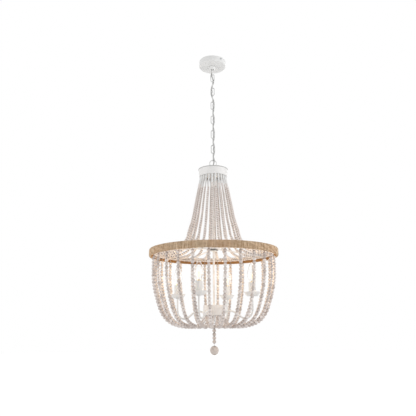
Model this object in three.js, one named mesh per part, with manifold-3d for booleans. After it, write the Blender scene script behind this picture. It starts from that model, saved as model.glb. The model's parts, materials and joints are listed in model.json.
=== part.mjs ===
// A beaded chandelier that hangs by a short chain from a round ceiling canopy.
// Millimetres, +Z up. The origin is the middle of the face that meets the ceiling, and -Y is the front.
// An azimuth is counted from the front towards +X.
import * as THREE from 'three';
import { mergeVertices } from 'three/addons/utils/BufferGeometryUtils.js';
import Module from 'manifold-3d';

const wasm = await Module();
wasm.setup();

// Shared values
const gap = 0.3; // between pieces that touch
const overrun = 2; // how far a cutter reaches past what it cuts
const fineSides = 28; // sides of the larger round pieces
const roundSides = 16; // sides of the middling round pieces
const smallSides = 12; // sides of shanks, stems and bores
const wireSides = 6; // sides of wires and thin bars

// Ceiling canopy and the bar that carries it
const canopyDiameter = 119.4;
const canopyHeight = 25.4;
const canopyWall = 1.2;
const canopyEdgeRadius = 3;
const canopyEdgeSteps = 3;
const barWidth = 22;
const barThickness = 2;
const barTabDepth = 15;
const barAzimuth = 39.4; // degrees, the line of the two side screws
const slotLength = 20;
const slotWidth = 5.6;
const slotOffset = 30;
const sideScrewShank = 4;
const sideScrewHead = 8;
const sideScrewHeadHeight = 4.5;
const sideScrewReach = 6; // how far the shank reaches past the tab
const sideScrewDrop = 10; // below the ceiling

// The two loops, one under the canopy and one on top of the collar
const loopDiameter = 32;
const loopWire = 3.6;
const loopLength = 43; // from its seat to the far side of its ring
const loopDomeDiameter = 28;
const loopDomeNeck = 13;
const loopDomeHeight = 13;
const loopDomeRim = 2.5;
const domeSteps = 2;
const stemDiameter = 10;
const cordDiameter = 5;
const cordClearance = 0.8; // round the cord in the stems
const nutAcross = 17; // across the corners
const nutSides = 6;
const nutThickness = 5;
const stemProud = 2; // how far a stem shows past its nut
const bushingDiameter = 10; // of the bushing where the cord leaves the canopy's loop
const bushingHeight = 2;

// Chain
const linkCount = 12;
const linkInnerLength = 34.7;
const linkInnerWidth = 11.4;
const linkWire = 3.3;
const linkArcSteps = 6;

// Cord laced through the chain
const cordOffset = 4.9; // sideways from the axis where two links meet
const cordMiddleShare = 0.42; // of that offset, halfway down a link
const cordTail = 8; // loose end inside the canopy
const cordSteps = 60;
const cordSides = 8;
// Which side of the axis the cord passes at each meeting of two links, as signs of X and Y
const cordSideShares = [
  [-1, -1], [1, 1], [-1, 1], [-1, -1], [1, -1], [1, 1], [1, 1],
  [1, -1], [1, -1], [1, 1], [1, 1], [1, -1], [1, -1],
];

// Collar with the plate that the bead strands hang from
const collarTopDiameter = 124.6;
const collarBottomDiameter = 116;
const collarHeight = 33;
const collarWall = 1.5;
const collarLipHeight = 3;
const collarLipOverhang = 1.6;
const strandPlateDiameter = 90;
const strandPlateThickness = 2;
const strandPlateInset = 8; // above the collar's lower edge
const plateSleeveDiameter = 16;
const couplingDiameter = 20;
const couplingLength = 46;
const couplingGrip = 10; // of the stem that the coupling holds

// Centre rod
const rodDiameter = 8;
const rodWall = 1;

// Ring
const ringDiameter = 508;
const ringTopDrop = 335; // below the collar's top
const ropeThickness = 4;
const hoopThickness = 3.4;
const hoopHeight = 19.4;
const tieSlotHeight = 12; // open slot inside the wrap, where spokes and strand wires reach the hoop
const ringSidesPerStrand = 2;
const spokeCount = 4;
const spokeTurnShare = 2.25; // of the step between strands, from the first strand
const spokeRootShare = 0.5; // of the boss's radius, where the spokes start inside it
const spokeDiameter = 5;
const spokeRise = 19; // of the boss above the middle of the ring
const spiderBossDiameter = 26;
const spiderBossHeight = 9;
const washerDiameter = 37;
const washerThickness = 1.5;

// Bead strands
const strandCount = 26;
const strandPhase = -4.2; // degrees, azimuth of the first strand
const strandSides = 4;
const strandWire = 1.8;
const tieWire = 3; // across its flats
const collarBead = 8;
const ringBead = 14.6;
const bowlBead = 15;
const hubBead = 6;
const strandEdgeClearance = 0.7;
const strandRingShare = 1 / 3; // of a ring bead, from the ring's top to the upper strands' ends
const tieReach = 7; // of an upper strand's wire inwards to its tie ring
const lowerTieReach = 3.5; // the same at the hub
const tieOverlapAngle = 4.5; // degrees that a tie ring reaches past its outer strands
const upperGroupCount = 2;
const lowerGroupCount = 4;
const bowlLowRadius = 95;
const bowlDepth = 257.2; // centre line, from under the ring to its lowest
// Each pair is a share of the way outwards and of the way down, from the collar to the ring
const upperStrandShares = [
  [0, 0], [0.045, 0.2], [0.11, 0.41], [0.18, 0.6], [0.235, 0.735],
  [0.285, 0.85], [0.42, 0.94], [0.66, 0.99], [1, 1],
];
// Each pair is a share of the way inwards and of the way down, from the ring to the bowl's lowest
const bowlShares = [
  [0, 0], [0, 0.198], [0.07, 0.437], [0.153, 0.652], [0.268, 0.796], [0.42, 0.907], [0.65, 0.972], [1, 1],
];
// Each pair is a share of the way inwards and of the way up, from the lowest to the hub
const hubRiseShares = [[0.42, 0.1], [0.8, 0.48], [1, 1]];

// Hub that carries the arms
const hubRise = 40.5; // of its lower edge above the bowl's lowest centre line
const hubDiameter = 82;
const hubHeight = 37;
const hubWall = 1.5;
const hubBossDiameter = 15;
const hubCoverDiameter = 68;
const hubCoverThickness = 2;
const hubCoverInset = 0.5; // of the cover's underside above the hub's lower edge

// Arms and lights
const lightCount = 4;
const lightPhase = -20.6; // degrees, azimuth of the first light
const lightInset = 80.8; // of the lights' circle inside the bowl strands' start
const armDiameter = 6.5;
const armRootRise = 10; // above the hub's lower edge
const armRootReach = 9; // inside the hub
const armSag = 22; // from the root down to the arm's lowest
const armFlangeDiameter = 13;
const armFlangeThickness = 2.5;
const armSteps = 11;
// Each pair is a share of the way out from the hub and of the sag, up or down from the root
const armShares = [
  [0, 0], [0.098, 0.15], [0.232, 0.227], [0.393, -0.045], [0.554, -0.636], [0.688, -0.977],
  [0.813, -0.93], [0.929, -0.5], [0.985, 0.1], [1, 0.8],
];
const panRise = 66; // of the pan's underside above the hub's lower edge
const panDiameter = 62;
const panFloorDiameter = 34;
const panDepth = 15;
const panWall = 1.5;
const panBendShare = 0.35; // of its depth, halfway up the flare
const sleeveDiameter = 27;
const sleeveWall = 1.3;
const sleeveHeight = 48;
const socketDiameter = 22;
const socketHeight = 44;
const socketBoreDepth = 25;
const nippleReach = 7; // of the arm's end into the socket
const bulbBaseDiameter = 12;
const bulbBaseLength = 22;
const bulbDiameter = 35;
const bulbGlassHeight = 74;
const bulbNeckDiameter = 15;
const bulbSides = 10;
// Each pair is a share of the glass's bulge past its neck and of its height
const bulbShares = [
  [0, 0], [0.3, 0.07], [0.78, 0.2], [1, 0.34], [0.93, 0.5], [0.6, 0.68], [0.1, 0.84], [-0.45, 0.96],
];

// Eye, drop strand and ball
const eyeShankDiameter = 4;
const eyeShankLength = 17;
const eyeFlangeDiameter = 18;
const eyeFlangeThickness = 3;
const eyeStemReach = 12; // up the rod's bore
const eyeStemClearance = 0.3;
const eyeDiameter = 10;
const eyeWire = 2.2;
const dropLoopDiameter = 9;
const dropLoopWire = 1.8;
const dropBeadCount = 5;
const dropBeadDiameter = 14;
const dropBeadPitch = 13;
const dropWire = 2.2;
const dropTail = 7; // bare wire between the last bead and the ball
const dropGrip = 8; // of the wire inside the ball
const ballDiameter = 32;
const eyeSteps = 8;
const beadSides = 8;
const beadRows = 5;

// Heights, all worked out from the ceiling down
const loopSeatZ = -canopyHeight - gap;
const canopyLoopEndZ = loopSeatZ - loopLength;
const linkPitch = linkInnerLength - gap;
const firstLinkTopZ = canopyLoopEndZ + loopWire + gap;
const bodyLoopInnerZ = firstLinkTopZ - linkCount * linkPitch;
const bodyLoopSeatZ = bodyLoopInnerZ + loopWire - loopLength;
const collarTopZ = bodyLoopSeatZ - gap;
const collarBottomZ = collarTopZ - collarHeight;
const strandPlateZ = collarBottomZ + strandPlateInset;
const couplingTopZ = strandPlateZ - gap;
const bodyStemEndZ = couplingTopZ - couplingGrip;
const rodTopZ = bodyStemEndZ - gap;
const ringHeight = hoopHeight + 2 * (ropeThickness + gap);
const ringTopZ = collarTopZ - ringTopDrop;
const ringMiddleZ = ringTopZ - ringHeight / 2;
const upperStrandEndZ = ringTopZ - ringBead * strandRingShare;
const bowlStartZ = ringTopZ - ringHeight - gap;
const bowlLowZ = bowlStartZ - bowlDepth;
const hubBottomZ = bowlLowZ + hubRise;
const hubTopZ = hubBottomZ + hubHeight;
const hubCoverZ = hubBottomZ + hubCoverInset;
const hubCoverTopZ = hubCoverZ + hubCoverThickness;
const eyeFlangeTopZ = hubCoverZ - gap;
const panZ = hubBottomZ + panRise;
const panFloorZ = panZ + panWall;

// Radii that follow from the ring's build-up
const ringSides = ringSidesPerStrand * strandCount;
const ringRadius = ringDiameter / 2;
const channelOuter = ringRadius - ropeThickness;
const hoopOuter = channelOuter - gap;
const hoopInner = hoopOuter - hoopThickness;
const channelInner = hoopInner - gap;
const wrapInner = channelInner - ropeThickness;

const strandEndRadius = flatRadius(wrapInner, ringSides) - gap;
const bowlStartRadius = strandEndRadius - bowlBead / 2;
const lightRadius = bowlStartRadius - lightInset;

const fullTurn = 360;
const radians = (2 * Math.PI) / fullTurn;
const turnStep = fullTurn / strandCount;

// Materials
function material(color, roughness, metalness, opacity) {
  return new THREE.MeshStandardMaterial({ color, roughness, metalness, opacity, transparent: opacity < 1 });
}
const whitePaint = material(0xe9e7e4, 0.5, 0.1, 1);
const zincSteel = material(0xb9bbbd, 0.4, 0.8, 1);
const greyCord = material(0xa9a9a9, 0.5, 0, 1);
const washedWood = material(0xd9cec8, 0.75, 0, 1);
const jute = material(0xc2a57c, 0.95, 0, 1);
const darkSteel = material(0x3b3936, 0.5, 0.6, 1);
const blackPlastic = material(0x2b2a29, 0.6, 0, 1);
const clearGlass = material(0xf4efe2, 0.05, 0, 0.35);
const whiteCeramic = material(0xe4e2dc, 0.4, 0, 1);

// A mesh with shared corners, no flattened triangles and its faces outwards
function welded(geometry) {
  const bare = geometry.clone();
  bare.deleteAttribute('normal');
  bare.deleteAttribute('uv');
  const merged = mergeVertices(bare);
  const corners = merged.index.array;
  const kept = [];
  for (let i = 0; i < corners.length; i += 3) {
    const [a, b, c] = [corners[i], corners[i + 1], corners[i + 2]];
    if (a !== b && b !== c && c !== a) kept.push(a, b, c);
  }
  const at = (index) => new THREE.Vector3().fromBufferAttribute(merged.attributes.position, index);
  let sixVolumes = 0;
  for (let i = 0; i < kept.length; i += 3) {
    sixVolumes += at(kept[i]).dot(at(kept[i + 1]).cross(at(kept[i + 2])));
  }
  merged.setIndex(sixVolumes < 0 ? kept.reverse() : kept);
  return merged;
}

function solid(geometry) {
  const mesh = welded(geometry);
  return new wasm.Manifold(new wasm.Mesh({
    numProp: 3,
    vertProperties: new Float32Array(mesh.attributes.position.array),
    triVerts: new Uint32Array(mesh.index.array),
  }));
}

function geometryOf(body) {
  const mesh = body.getMesh();
  const geometry = new THREE.BufferGeometry();
  geometry.setAttribute('position', new THREE.BufferAttribute(mesh.vertProperties, 3));
  geometry.setIndex(new THREE.BufferAttribute(mesh.triVerts, 1));
  geometry.computeVertexNormals();
  return geometry;
}

function joined(...geometries) {
  return geometryOf(geometries.map(solid).reduce((whole, part) => whole.add(part)));
}

function cut(geometry, ...cutters) {
  return geometryOf(cutters.map(solid).reduce((whole, cutter) => whole.subtract(cutter), solid(geometry)));
}

// A round solid about Z from [radius, z] points, its first corner at the given azimuth
function turned(profile, sides, firstAzimuth = 0) {
  const points = profile.map(([radius, z]) => new THREE.Vector2(radius, z));
  const lathe = new THREE.LatheGeometry(points, sides, firstAzimuth * radians);
  return welded(lathe.rotateX(Math.PI / 2));
}

function rod(radius, bottomZ, topZ, sides = smallSides) {
  return turned([[0, bottomZ], [radius, bottomZ], [radius, topZ], [0, topZ]], sides);
}

function tube(outerRadius, innerRadius, bottomZ, topZ, sides, firstAzimuth = 0) {
  return turned([
    [innerRadius, bottomZ], [outerRadius, bottomZ], [outerRadius, topZ], [innerRadius, topZ],
    [innerRadius, bottomZ],
  ], sides, firstAzimuth);
}

// The radius to the middle of a flat, on a round made of that many sides
function flatRadius(radius, sides) {
  return radius * Math.cos(Math.PI / sides);
}

// The corner radius of a round bore whose flats keep the given clearance round a shank
function boreRadius(diameter, clearance) {
  return (diameter / 2 + clearance) / Math.cos(Math.PI / smallSides);
}

// A round bar through points that lie in one plane, with a radius at each point
function bar(points, radii, across, sides, isLoop = false) {
  const count = points.length;
  const position = [];
  points.forEach((point, i) => {
    const before = points[isLoop ? (i + count - 1) % count : Math.max(i - 1, 0)];
    const after = points[isLoop ? (i + 1) % count : Math.min(i + 1, count - 1)];
    const along = after.clone().sub(before).normalize();
    const up = new THREE.Vector3().crossVectors(along, across);
    for (let side = 0; side < sides; side += 1) {
      const turn = (2 * Math.PI * (side + 0.5)) / sides;
      const corner = point.clone()
        .addScaledVector(across, radii[i] * Math.cos(turn))
        .addScaledVector(up, radii[i] * Math.sin(turn));
      position.push(corner.x, corner.y, corner.z);
    }
  });
  const index = [];
  const spans = isLoop ? count : count - 1;
  for (let i = 0; i < spans; i += 1) {
    const start = i * sides;
    const next = ((i + 1) % count) * sides;
    for (let side = 0; side < sides; side += 1) {
      const beside = (side + 1) % sides;
      index.push(start + side, start + beside, next + beside, start + side, next + beside, next + side);
    }
  }
  if (!isLoop) {
    const last = (count - 1) * sides;
    for (let side = 1; side < sides - 1; side += 1) {
      index.push(0, side + 1, side, last, last + side, last + side + 1);
    }
  }
  const geometry = new THREE.BufferGeometry();
  geometry.setAttribute('position', new THREE.Float32BufferAttribute(position, 3));
  geometry.setIndex(index);
  return welded(geometry);
}

const acrossY = new THREE.Vector3(0, 1, 0);
const upZ = new THREE.Vector3(0, 0, 1);

// A ring of round wire that stands in the XZ plane
function standingRing(outerDiameter, wire, sides, steps) {
  const ring = new THREE.TorusGeometry((outerDiameter - wire) / 2, wire / 2, sides, steps);
  return welded(ring.rotateX(Math.PI / 2));
}

function turnedAbout(geometry, azimuth) {
  return geometry.clone().rotateZ(azimuth * radians);
}

const chandelier = new THREE.Group();

function place(name, geometry, finish, parent, z = 0, azimuth = 0) {
  const mesh = new THREE.Mesh(geometry, finish);
  mesh.name = name;
  mesh.position.z = z;
  mesh.rotation.z = azimuth * radians;
  parent.add(mesh);
  return mesh;
}

// Canopy: a shallow cup, open at the ceiling, with a rounded lower edge
const canopyInner = canopyDiameter / 2 - canopyWall;
const stemBore = cordDiameter + 2 * cordClearance;

// A shank's cutter or body that lies along X at the side screws' height
function alongX(radius, startX, endX, z) {
  const shank = rod(radius, startX, endX);
  return shank.rotateY(Math.PI / 2).translate(0, 0, z);
}

function canopyShell() {
  const outer = canopyDiameter / 2;
  const edge = (radius) => Array.from({ length: canopyEdgeSteps + 1 }, (_, i) => {
    const turn = (i / canopyEdgeSteps) * (Math.PI / 2);
    return [
      outer - canopyEdgeRadius + radius * Math.sin(turn),
      -canopyHeight + canopyEdgeRadius - radius * Math.cos(turn),
    ];
  });
  const holeRadius = boreRadius(stemDiameter, gap);
  const outside = edge(canopyEdgeRadius);
  const inside = edge(canopyEdgeRadius - canopyWall).reverse();
  const shell = turned([
    [holeRadius, -canopyHeight], ...outside, [outer, 0], [canopyInner, 0], ...inside,
    [holeRadius, -canopyHeight + canopyWall], [holeRadius, -canopyHeight],
  ], fineSides);
  const screwHole = boreRadius(sideScrewShank, gap);
  const reach = canopyDiameter / 2 + overrun;
  return cut(shell, alongX(screwHole, -reach, reach, -sideScrewDrop));
}

// Bar: a flat strap against the ceiling whose ends are bent down inside the canopy
const barHalfWidth = barWidth / 2;
const barHalfLength = Math.sqrt((flatRadius(canopyInner, fineSides) - gap) ** 2 - barHalfWidth ** 2);

function ceilingBar() {
  const outline = new THREE.Shape();
  outline.moveTo(-barHalfLength, -barTabDepth);
  outline.lineTo(-barHalfLength, 0);
  outline.lineTo(barHalfLength, 0);
  outline.lineTo(barHalfLength, -barTabDepth);
  outline.lineTo(barHalfLength - barThickness, -barTabDepth);
  outline.lineTo(barHalfLength - barThickness, -barThickness);
  outline.lineTo(-barHalfLength + barThickness, -barThickness);
  outline.lineTo(-barHalfLength + barThickness, -barTabDepth);
  outline.closePath();
  const strap = new THREE.ExtrudeGeometry(outline, { depth: barWidth, bevelEnabled: false });
  strap.translate(0, 0, -barHalfWidth).rotateX(Math.PI / 2);
  const slotHeight = barThickness + 2 * overrun;
  const slots = [-1, 1].flatMap((side) => {
    const straight = slotLength - slotWidth;
    const middle = new THREE.BoxGeometry(straight, slotWidth, slotHeight);
    middle.translate(side * slotOffset, 0, -barThickness / 2);
    const ends = [-1, 1].map((end) => {
      const round = rod(slotWidth / 2, -barThickness - overrun, overrun);
      return round.translate(side * slotOffset + (end * straight) / 2, 0, 0);
    });
    return [middle, ...ends];
  });
  const reach = barHalfLength + overrun;
  return cut(strap, ...slots, alongX(boreRadius(sideScrewShank, gap), -reach, reach, -sideScrewDrop));
}

// Side screw: a domed head outside the canopy and a shank through its wall and the bar's tab
function sideScrew() {
  const seat = canopyDiameter / 2 + gap;
  const tip = barHalfLength - barThickness - sideScrewReach;
  const crown = seat + sideScrewHeadHeight;
  const shoulder = (seat + crown) / 2;
  const screw = turned([
    [0, tip], [sideScrewShank / 2, tip], [sideScrewShank / 2, seat], [sideScrewHead / 2, seat],
    [sideScrewHead / 2, shoulder], [sideScrewShank / 2, crown], [0, crown],
  ], smallSides);
  return screw.rotateY(Math.PI / 2).translate(0, 0, -sideScrewDrop);
}

// Loop: a standing ring on a domed foot, with a hollow threaded stem under it
function hangingLoop(stemLength) {
  const dome = Array.from({ length: domeSteps + 1 }, (_, i) => {
    const turn = (i / domeSteps) * (Math.PI / 2);
    const neck = loopDomeNeck / 2;
    const rise = loopDomeHeight - loopDomeRim;
    return [neck + (loopDomeDiameter / 2 - neck) * Math.cos(turn), loopDomeRim + rise * Math.sin(turn)];
  });
  const foot = turned([
    [0, -stemLength], [stemDiameter / 2, -stemLength], [stemDiameter / 2, 0], [loopDomeDiameter / 2, 0],
    ...dome, [0, loopDomeHeight],
  ], roundSides);
  const boreTop = loopLength - loopDiameter / 2;
  const ring = standingRing(loopDiameter, loopWire, wireSides, roundSides).translate(0, 0, boreTop);
  return cut(joined(foot, ring), rod(stemBore / 2, -stemLength - overrun, boreTop));
}

function hexNut() {
  const bore = boreRadius(stemDiameter, gap);
  const corner = nutAcross / 2;
  const outside = rod(corner, 0, nutThickness, nutSides);
  return cut(outside, rod(bore, -overrun, nutThickness + overrun));
}

const canopyStemLength = gap + canopyWall + gap + nutThickness + stemProud;

function addCeilingPieces() {
  const ceiling = new THREE.Group();
  const barTurn = barAzimuth - 90;
  place('mounting_crossbar', ceilingBar(), zincSteel, ceiling, 0, barTurn);
  place('canopy', canopyShell(), whitePaint, ceiling, 0, barTurn);
  place('canopy_screw_1', sideScrew(), zincSteel, ceiling, 0, barTurn);
  place('canopy_screw_2', sideScrew(), zincSteel, ceiling, 0, barTurn + 180);
  const bushingSeat = rod(boreRadius(bushingDiameter, gap), loopDomeHeight, loopLength - loopDiameter / 2);
  const loop = cut(hangingLoop(canopyStemLength), bushingSeat);
  place('canopy_loop', loop.rotateY(Math.PI).rotateZ(Math.PI / 2), whitePaint, ceiling, loopSeatZ);
  const bushing = tube(bushingDiameter / 2, stemBore / 2, -bushingHeight, 0, smallSides);
  place('cord_bushing', bushing, blackPlastic, ceiling, loopSeatZ - loopDomeHeight - gap);
  place('loop_lock_nut', hexNut(), zincSteel, ceiling, -canopyHeight + canopyWall + gap);
  chandelier.add(ceiling);
}

// Chain: long oval links of round wire, each turned a quarter from the last
function chainLink() {
  const bend = (linkInnerWidth + linkWire) / 2;
  const straightHalf = (linkInnerLength - linkInnerWidth) / 2;
  const points = [];
  [1, -1].forEach((end) => {
    for (let i = 0; i <= linkArcSteps; i += 1) {
      const turn = (i / linkArcSteps) * Math.PI;
      const rise = straightHalf + bend * Math.sin(turn);
      points.push(new THREE.Vector3(end * bend * Math.cos(turn), 0, end * rise));
    }
  });
  return bar(points, points.map(() => linkWire / 2), acrossY, wireSides, true);
}

function addChain() {
  const chain = new THREE.Group();
  const link = chainLink();
  for (let i = 0; i < linkCount; i += 1) {
    const name = `chain_link_${String(i + 1).padStart(2, '0')}`;
    const middleZ = firstLinkTopZ - i * linkPitch - linkInnerLength / 2;
    place(name, link, whitePaint, chain, middleZ, i % 2 === 0 ? 0 : 90);
  }
  chandelier.add(chain);
}

// Cord: from inside the canopy, down through every link, and into the top of the rod
function addCord() {
  const canopyStemEndZ = loopSeatZ + canopyStemLength;
  const meetings = Array.from({ length: linkCount + 1 }, (_, i) => {
    const [sideX, sideY] = cordSideShares[i % cordSideShares.length]; // starts again on a longer chain
    return new THREE.Vector3(sideX * cordOffset, sideY * cordOffset, firstLinkTopZ - gap / 2 - i * linkPitch);
  });
  const laced = meetings.flatMap((meeting, i) => {
    if (i === 0) return [meeting];
    const middle = meeting.clone().add(meetings[i - 1]).divideScalar(2);
    middle.x *= cordMiddleShare;
    middle.y *= cordMiddleShare;
    return [middle, meeting];
  });
  const onAxis = (z) => new THREE.Vector3(0, 0, z);
  const points = [
    onAxis(canopyStemEndZ + cordTail), onAxis(canopyStemEndZ), onAxis(loopSeatZ - loopDomeHeight),
    ...laced,
    onAxis(bodyLoopSeatZ + loopDomeHeight), onAxis(collarTopZ), onAxis(rodTopZ + gap),
  ];
  const route = new THREE.CatmullRomCurve3(points, false, 'centripetal');
  const section = new THREE.Shape();
  for (let side = 0; side < cordSides; side += 1) {
    const turn = (2 * Math.PI * side) / cordSides;
    const [x, y] = [(cordDiameter / 2) * Math.cos(turn), (cordDiameter / 2) * Math.sin(turn)];
    if (side === 0) section.moveTo(x, y);
    else section.lineTo(x, y);
  }
  section.closePath();
  const cord = new THREE.ExtrudeGeometry(section, { steps: cordSteps, extrudePath: route, curveSegments: 1 });
  place('power_cord', welded(cord), greyCord, chandelier);
}

// Collar: an upturned cup with a rolled lip, narrowing downwards
function collarShell() {
  const top = collarTopDiameter / 2;
  const shoulder = top - collarLipOverhang;
  const bottom = collarBottomDiameter / 2;
  const stemHole = boreRadius(stemDiameter, gap);
  return turned([
    [stemHole, 0], [top, 0], [top, -collarLipHeight], [shoulder, -collarLipHeight],
    [bottom, -collarHeight], [bottom - collarWall, -collarHeight],
    [shoulder - collarWall, -collarWall], [stemHole, -collarWall], [stemHole, 0],
  ], fineSides);
}

// Plate that the upper strands are tied over, with a sleeve up to the collar's top
function strandPlate() {
  const bore = boreRadius(stemDiameter, gap);
  const top = strandPlateThickness;
  const sleeveTop = collarTopZ - collarWall - gap - strandPlateZ;
  return turned([
    [bore, 0], [strandPlateDiameter / 2, 0], [strandPlateDiameter / 2, top], [plateSleeveDiameter / 2, top],
    [plateSleeveDiameter / 2, sleeveTop], [bore, sleeveTop], [bore, 0],
  ], roundSides);
}

// Coupling under the plate: it grips the loop's stem above and the rod below
function rodCoupling() {
  const stemHole = boreRadius(stemDiameter, gap);
  const rodHole = boreRadius(rodDiameter, gap);
  const step = -couplingGrip - gap / 2;
  const outer = couplingDiameter / 2;
  return turned([
    [rodHole, -couplingLength], [outer, -couplingLength], [outer, 0], [stemHole, 0],
    [stemHole, step], [rodHole, step], [rodHole, -couplingLength],
  ], roundSides);
}

function addTop(fixture) {
  const stemLength = bodyLoopSeatZ - bodyStemEndZ;
  place('body_loop', hangingLoop(stemLength), whitePaint, fixture, bodyLoopSeatZ);
  place('collar', collarShell(), whitePaint, fixture, collarTopZ);
  place('strand_plate', strandPlate(), zincSteel, fixture, strandPlateZ);
  place('rod_coupling', rodCoupling(), whitePaint, fixture, couplingTopZ);
  const rodTube = tube(rodDiameter / 2, rodDiameter / 2 - rodWall, eyeFlangeTopZ + gap, rodTopZ, smallSides);
  place('centre_rod', rodTube, whitePaint, fixture);
}

// Ring: a flat hoop inside a rope wrap, on four spokes from a boss on the rod
function addRing(fixture) {
  const firstCorner = strandPhase + turnStep / 4;
  const hoopHalf = hoopHeight / 2;
  const hoop = tube(hoopOuter, hoopInner, -hoopHalf, hoopHalf, ringSides, firstCorner);
  place('ring_hoop', hoop, whitePaint, fixture, ringMiddleZ);

  const half = ringHeight / 2;
  const slot = tieSlotHeight / 2;
  const channelHalf = half - ropeThickness;
  const wrap = turned([
    [wrapInner, slot], [wrapInner, half], [ringRadius, half], [ringRadius, -half], [wrapInner, -half],
    [wrapInner, -slot], [channelInner, -slot], [channelInner, -channelHalf], [channelOuter, -channelHalf],
    [channelOuter, channelHalf], [channelInner, channelHalf], [channelInner, slot], [wrapInner, slot],
  ], ringSides, firstCorner);
  place('rope_wrap', wrap, jute, fixture, ringMiddleZ);

  const bossHalf = spiderBossHeight / 2;
  const rodHole = rod(boreRadius(rodDiameter, gap), -bossHalf - overrun, bossHalf + overrun);
  const spokeStart = new THREE.Vector3((spiderBossDiameter / 2) * spokeRootShare, 0, 0);
  const spokeEnd = new THREE.Vector3(flatRadius(hoopInner, ringSides) - gap, 0, -spokeRise);
  const spokes = Array.from({ length: spokeCount }, (_, i) => {
    const azimuth = strandPhase + spokeTurnShare * turnStep + (i * fullTurn) / spokeCount;
    const spoke = bar([spokeStart, spokeEnd], [spokeDiameter / 2, spokeDiameter / 2], acrossY, wireSides);
    return turnedAbout(spoke, azimuth - 90);
  });
  const boss = rod(spiderBossDiameter / 2, -bossHalf, bossHalf, roundSides);
  const spiderZ = ringMiddleZ + spokeRise;
  place('ring_spider', cut(joined(boss, ...spokes), rodHole), whitePaint, fixture, spiderZ);
  const washer = tube(washerDiameter / 2, boreRadius(rodDiameter, gap), -washerThickness, 0, roundSides);
  place('spider_washer', washer, darkSteel, fixture, spiderZ - bossHalf - gap);
}

// The first strand of a group, where the strands are shared out as evenly as whole numbers allow
function firstOfGroup(group, groupCount) {
  return Math.round((group * strandCount) / groupCount);
}

// A row of strands, each in its own upright plane, held together by the tie wire that they start or end on
function strandGroup(path, radii, tieRadius, tieZ, first, count) {
  const points = path.map(([radius, z]) => new THREE.Vector3(radius, 0, z));
  const single = bar(points, radii, acrossY, strandSides);
  const azimuthOf = (number) => strandPhase + number * turnStep;
  const strands = Array.from({ length: count }, (_, i) => turnedAbout(single, azimuthOf(first + i) - 90));
  const from = azimuthOf(first) - tieOverlapAngle - 90;
  const sweepAngle = (count - 1) * turnStep + 2 * tieOverlapAngle;
  const tiePoints = Array.from({ length: count + 1 }, (_, i) => {
    const turn = (from + (i / count) * sweepAngle) * radians;
    return new THREE.Vector3(tieRadius * Math.cos(turn), tieRadius * Math.sin(turn), tieZ);
  });
  const tieCorner = tieWire / 2 / Math.cos(Math.PI / strandSides);
  const tie = bar(tiePoints, tiePoints.map(() => tieCorner), upZ, strandSides);
  return joined(tie, ...strands);
}

function addUpperStrands(fixture) {
  const startRadius = strandPlateDiameter / 2 + strandEdgeClearance + collarBead / 2;
  const tieZ = strandPlateZ + strandPlateThickness + gap + tieWire / 2;
  const tieRadius = startRadius - tieReach;
  const beads = upperStrandShares.map(([out, down]) => [
    startRadius + out * (strandEndRadius - startRadius),
    strandPlateZ + down * (upperStrandEndZ - strandPlateZ),
  ]);
  const path = [[tieRadius, tieZ], [startRadius, tieZ], ...beads];
  const beadRadii = upperStrandShares.map(([out]) => (collarBead + out * (ringBead - collarBead)) / 2);
  const radii = [strandWire / 2, strandWire / 2, ...beadRadii];
  for (let i = 0; i < upperGroupCount; i += 1) {
    const first = firstOfGroup(i, upperGroupCount);
    const count = firstOfGroup(i + 1, upperGroupCount) - first;
    const group = strandGroup(path, radii, tieRadius, tieZ, first, count);
    place(`upper_strands_${i + 1}`, group, washedWood, fixture);
  }
}

// Each lower strand hangs from the hoop by a wire that comes out of the wrap's slot
function addLowerStrands(fixture) {
  const hookRadius = flatRadius(hoopInner, ringSides) - gap;
  const hook = [
    [hookRadius, ringMiddleZ], [bowlStartRadius, ringMiddleZ], [bowlStartRadius, bowlStartZ + gap],
  ];
  const endRadius = (hubCoverDiameter / 2 + hubDiameter / 2 - hubWall) / 2;
  const endZ = hubBottomZ - gap - strandWire / 2;
  const tieZ = hubCoverTopZ + gap + tieWire / 2;
  const tieRadius = endRadius - lowerTieReach;
  const bowl = bowlShares.map(([inwards, down]) => [
    bowlStartRadius + inwards * (bowlLowRadius - bowlStartRadius), bowlStartZ - down * bowlDepth,
  ]);
  const rise = hubRiseShares.map(([inwards, up]) => [
    bowlLowRadius + inwards * (endRadius - bowlLowRadius), bowlLowZ + up * (endZ - bowlLowZ),
  ]);
  const path = [...hook, ...bowl, ...rise, [endRadius, hubBottomZ], [endRadius, tieZ], [tieRadius, tieZ]];
  const radii = [
    ...hook.map(() => strandWire / 2),
    ...bowlShares.map(() => bowlBead / 2),
    ...hubRiseShares.map(([inwards]) => (hubBead + (1 - inwards) ** 2 * (bowlBead - hubBead)) / 2),
    strandWire / 2, strandWire / 2, strandWire / 2,
  ];
  for (let i = 0; i < lowerGroupCount; i += 1) {
    const first = firstOfGroup(i, lowerGroupCount);
    const count = firstOfGroup(i + 1, lowerGroupCount) - first;
    const group = strandGroup(path, radii, tieRadius, tieZ, first, count);
    place(`lower_strands_${i + 1}`, group, washedWood, fixture);
  }
}

// Hub: an upturned cup with a boss for the rod, and a cover inside its mouth
const armRootZ = hubBottomZ + armRootRise;

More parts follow.
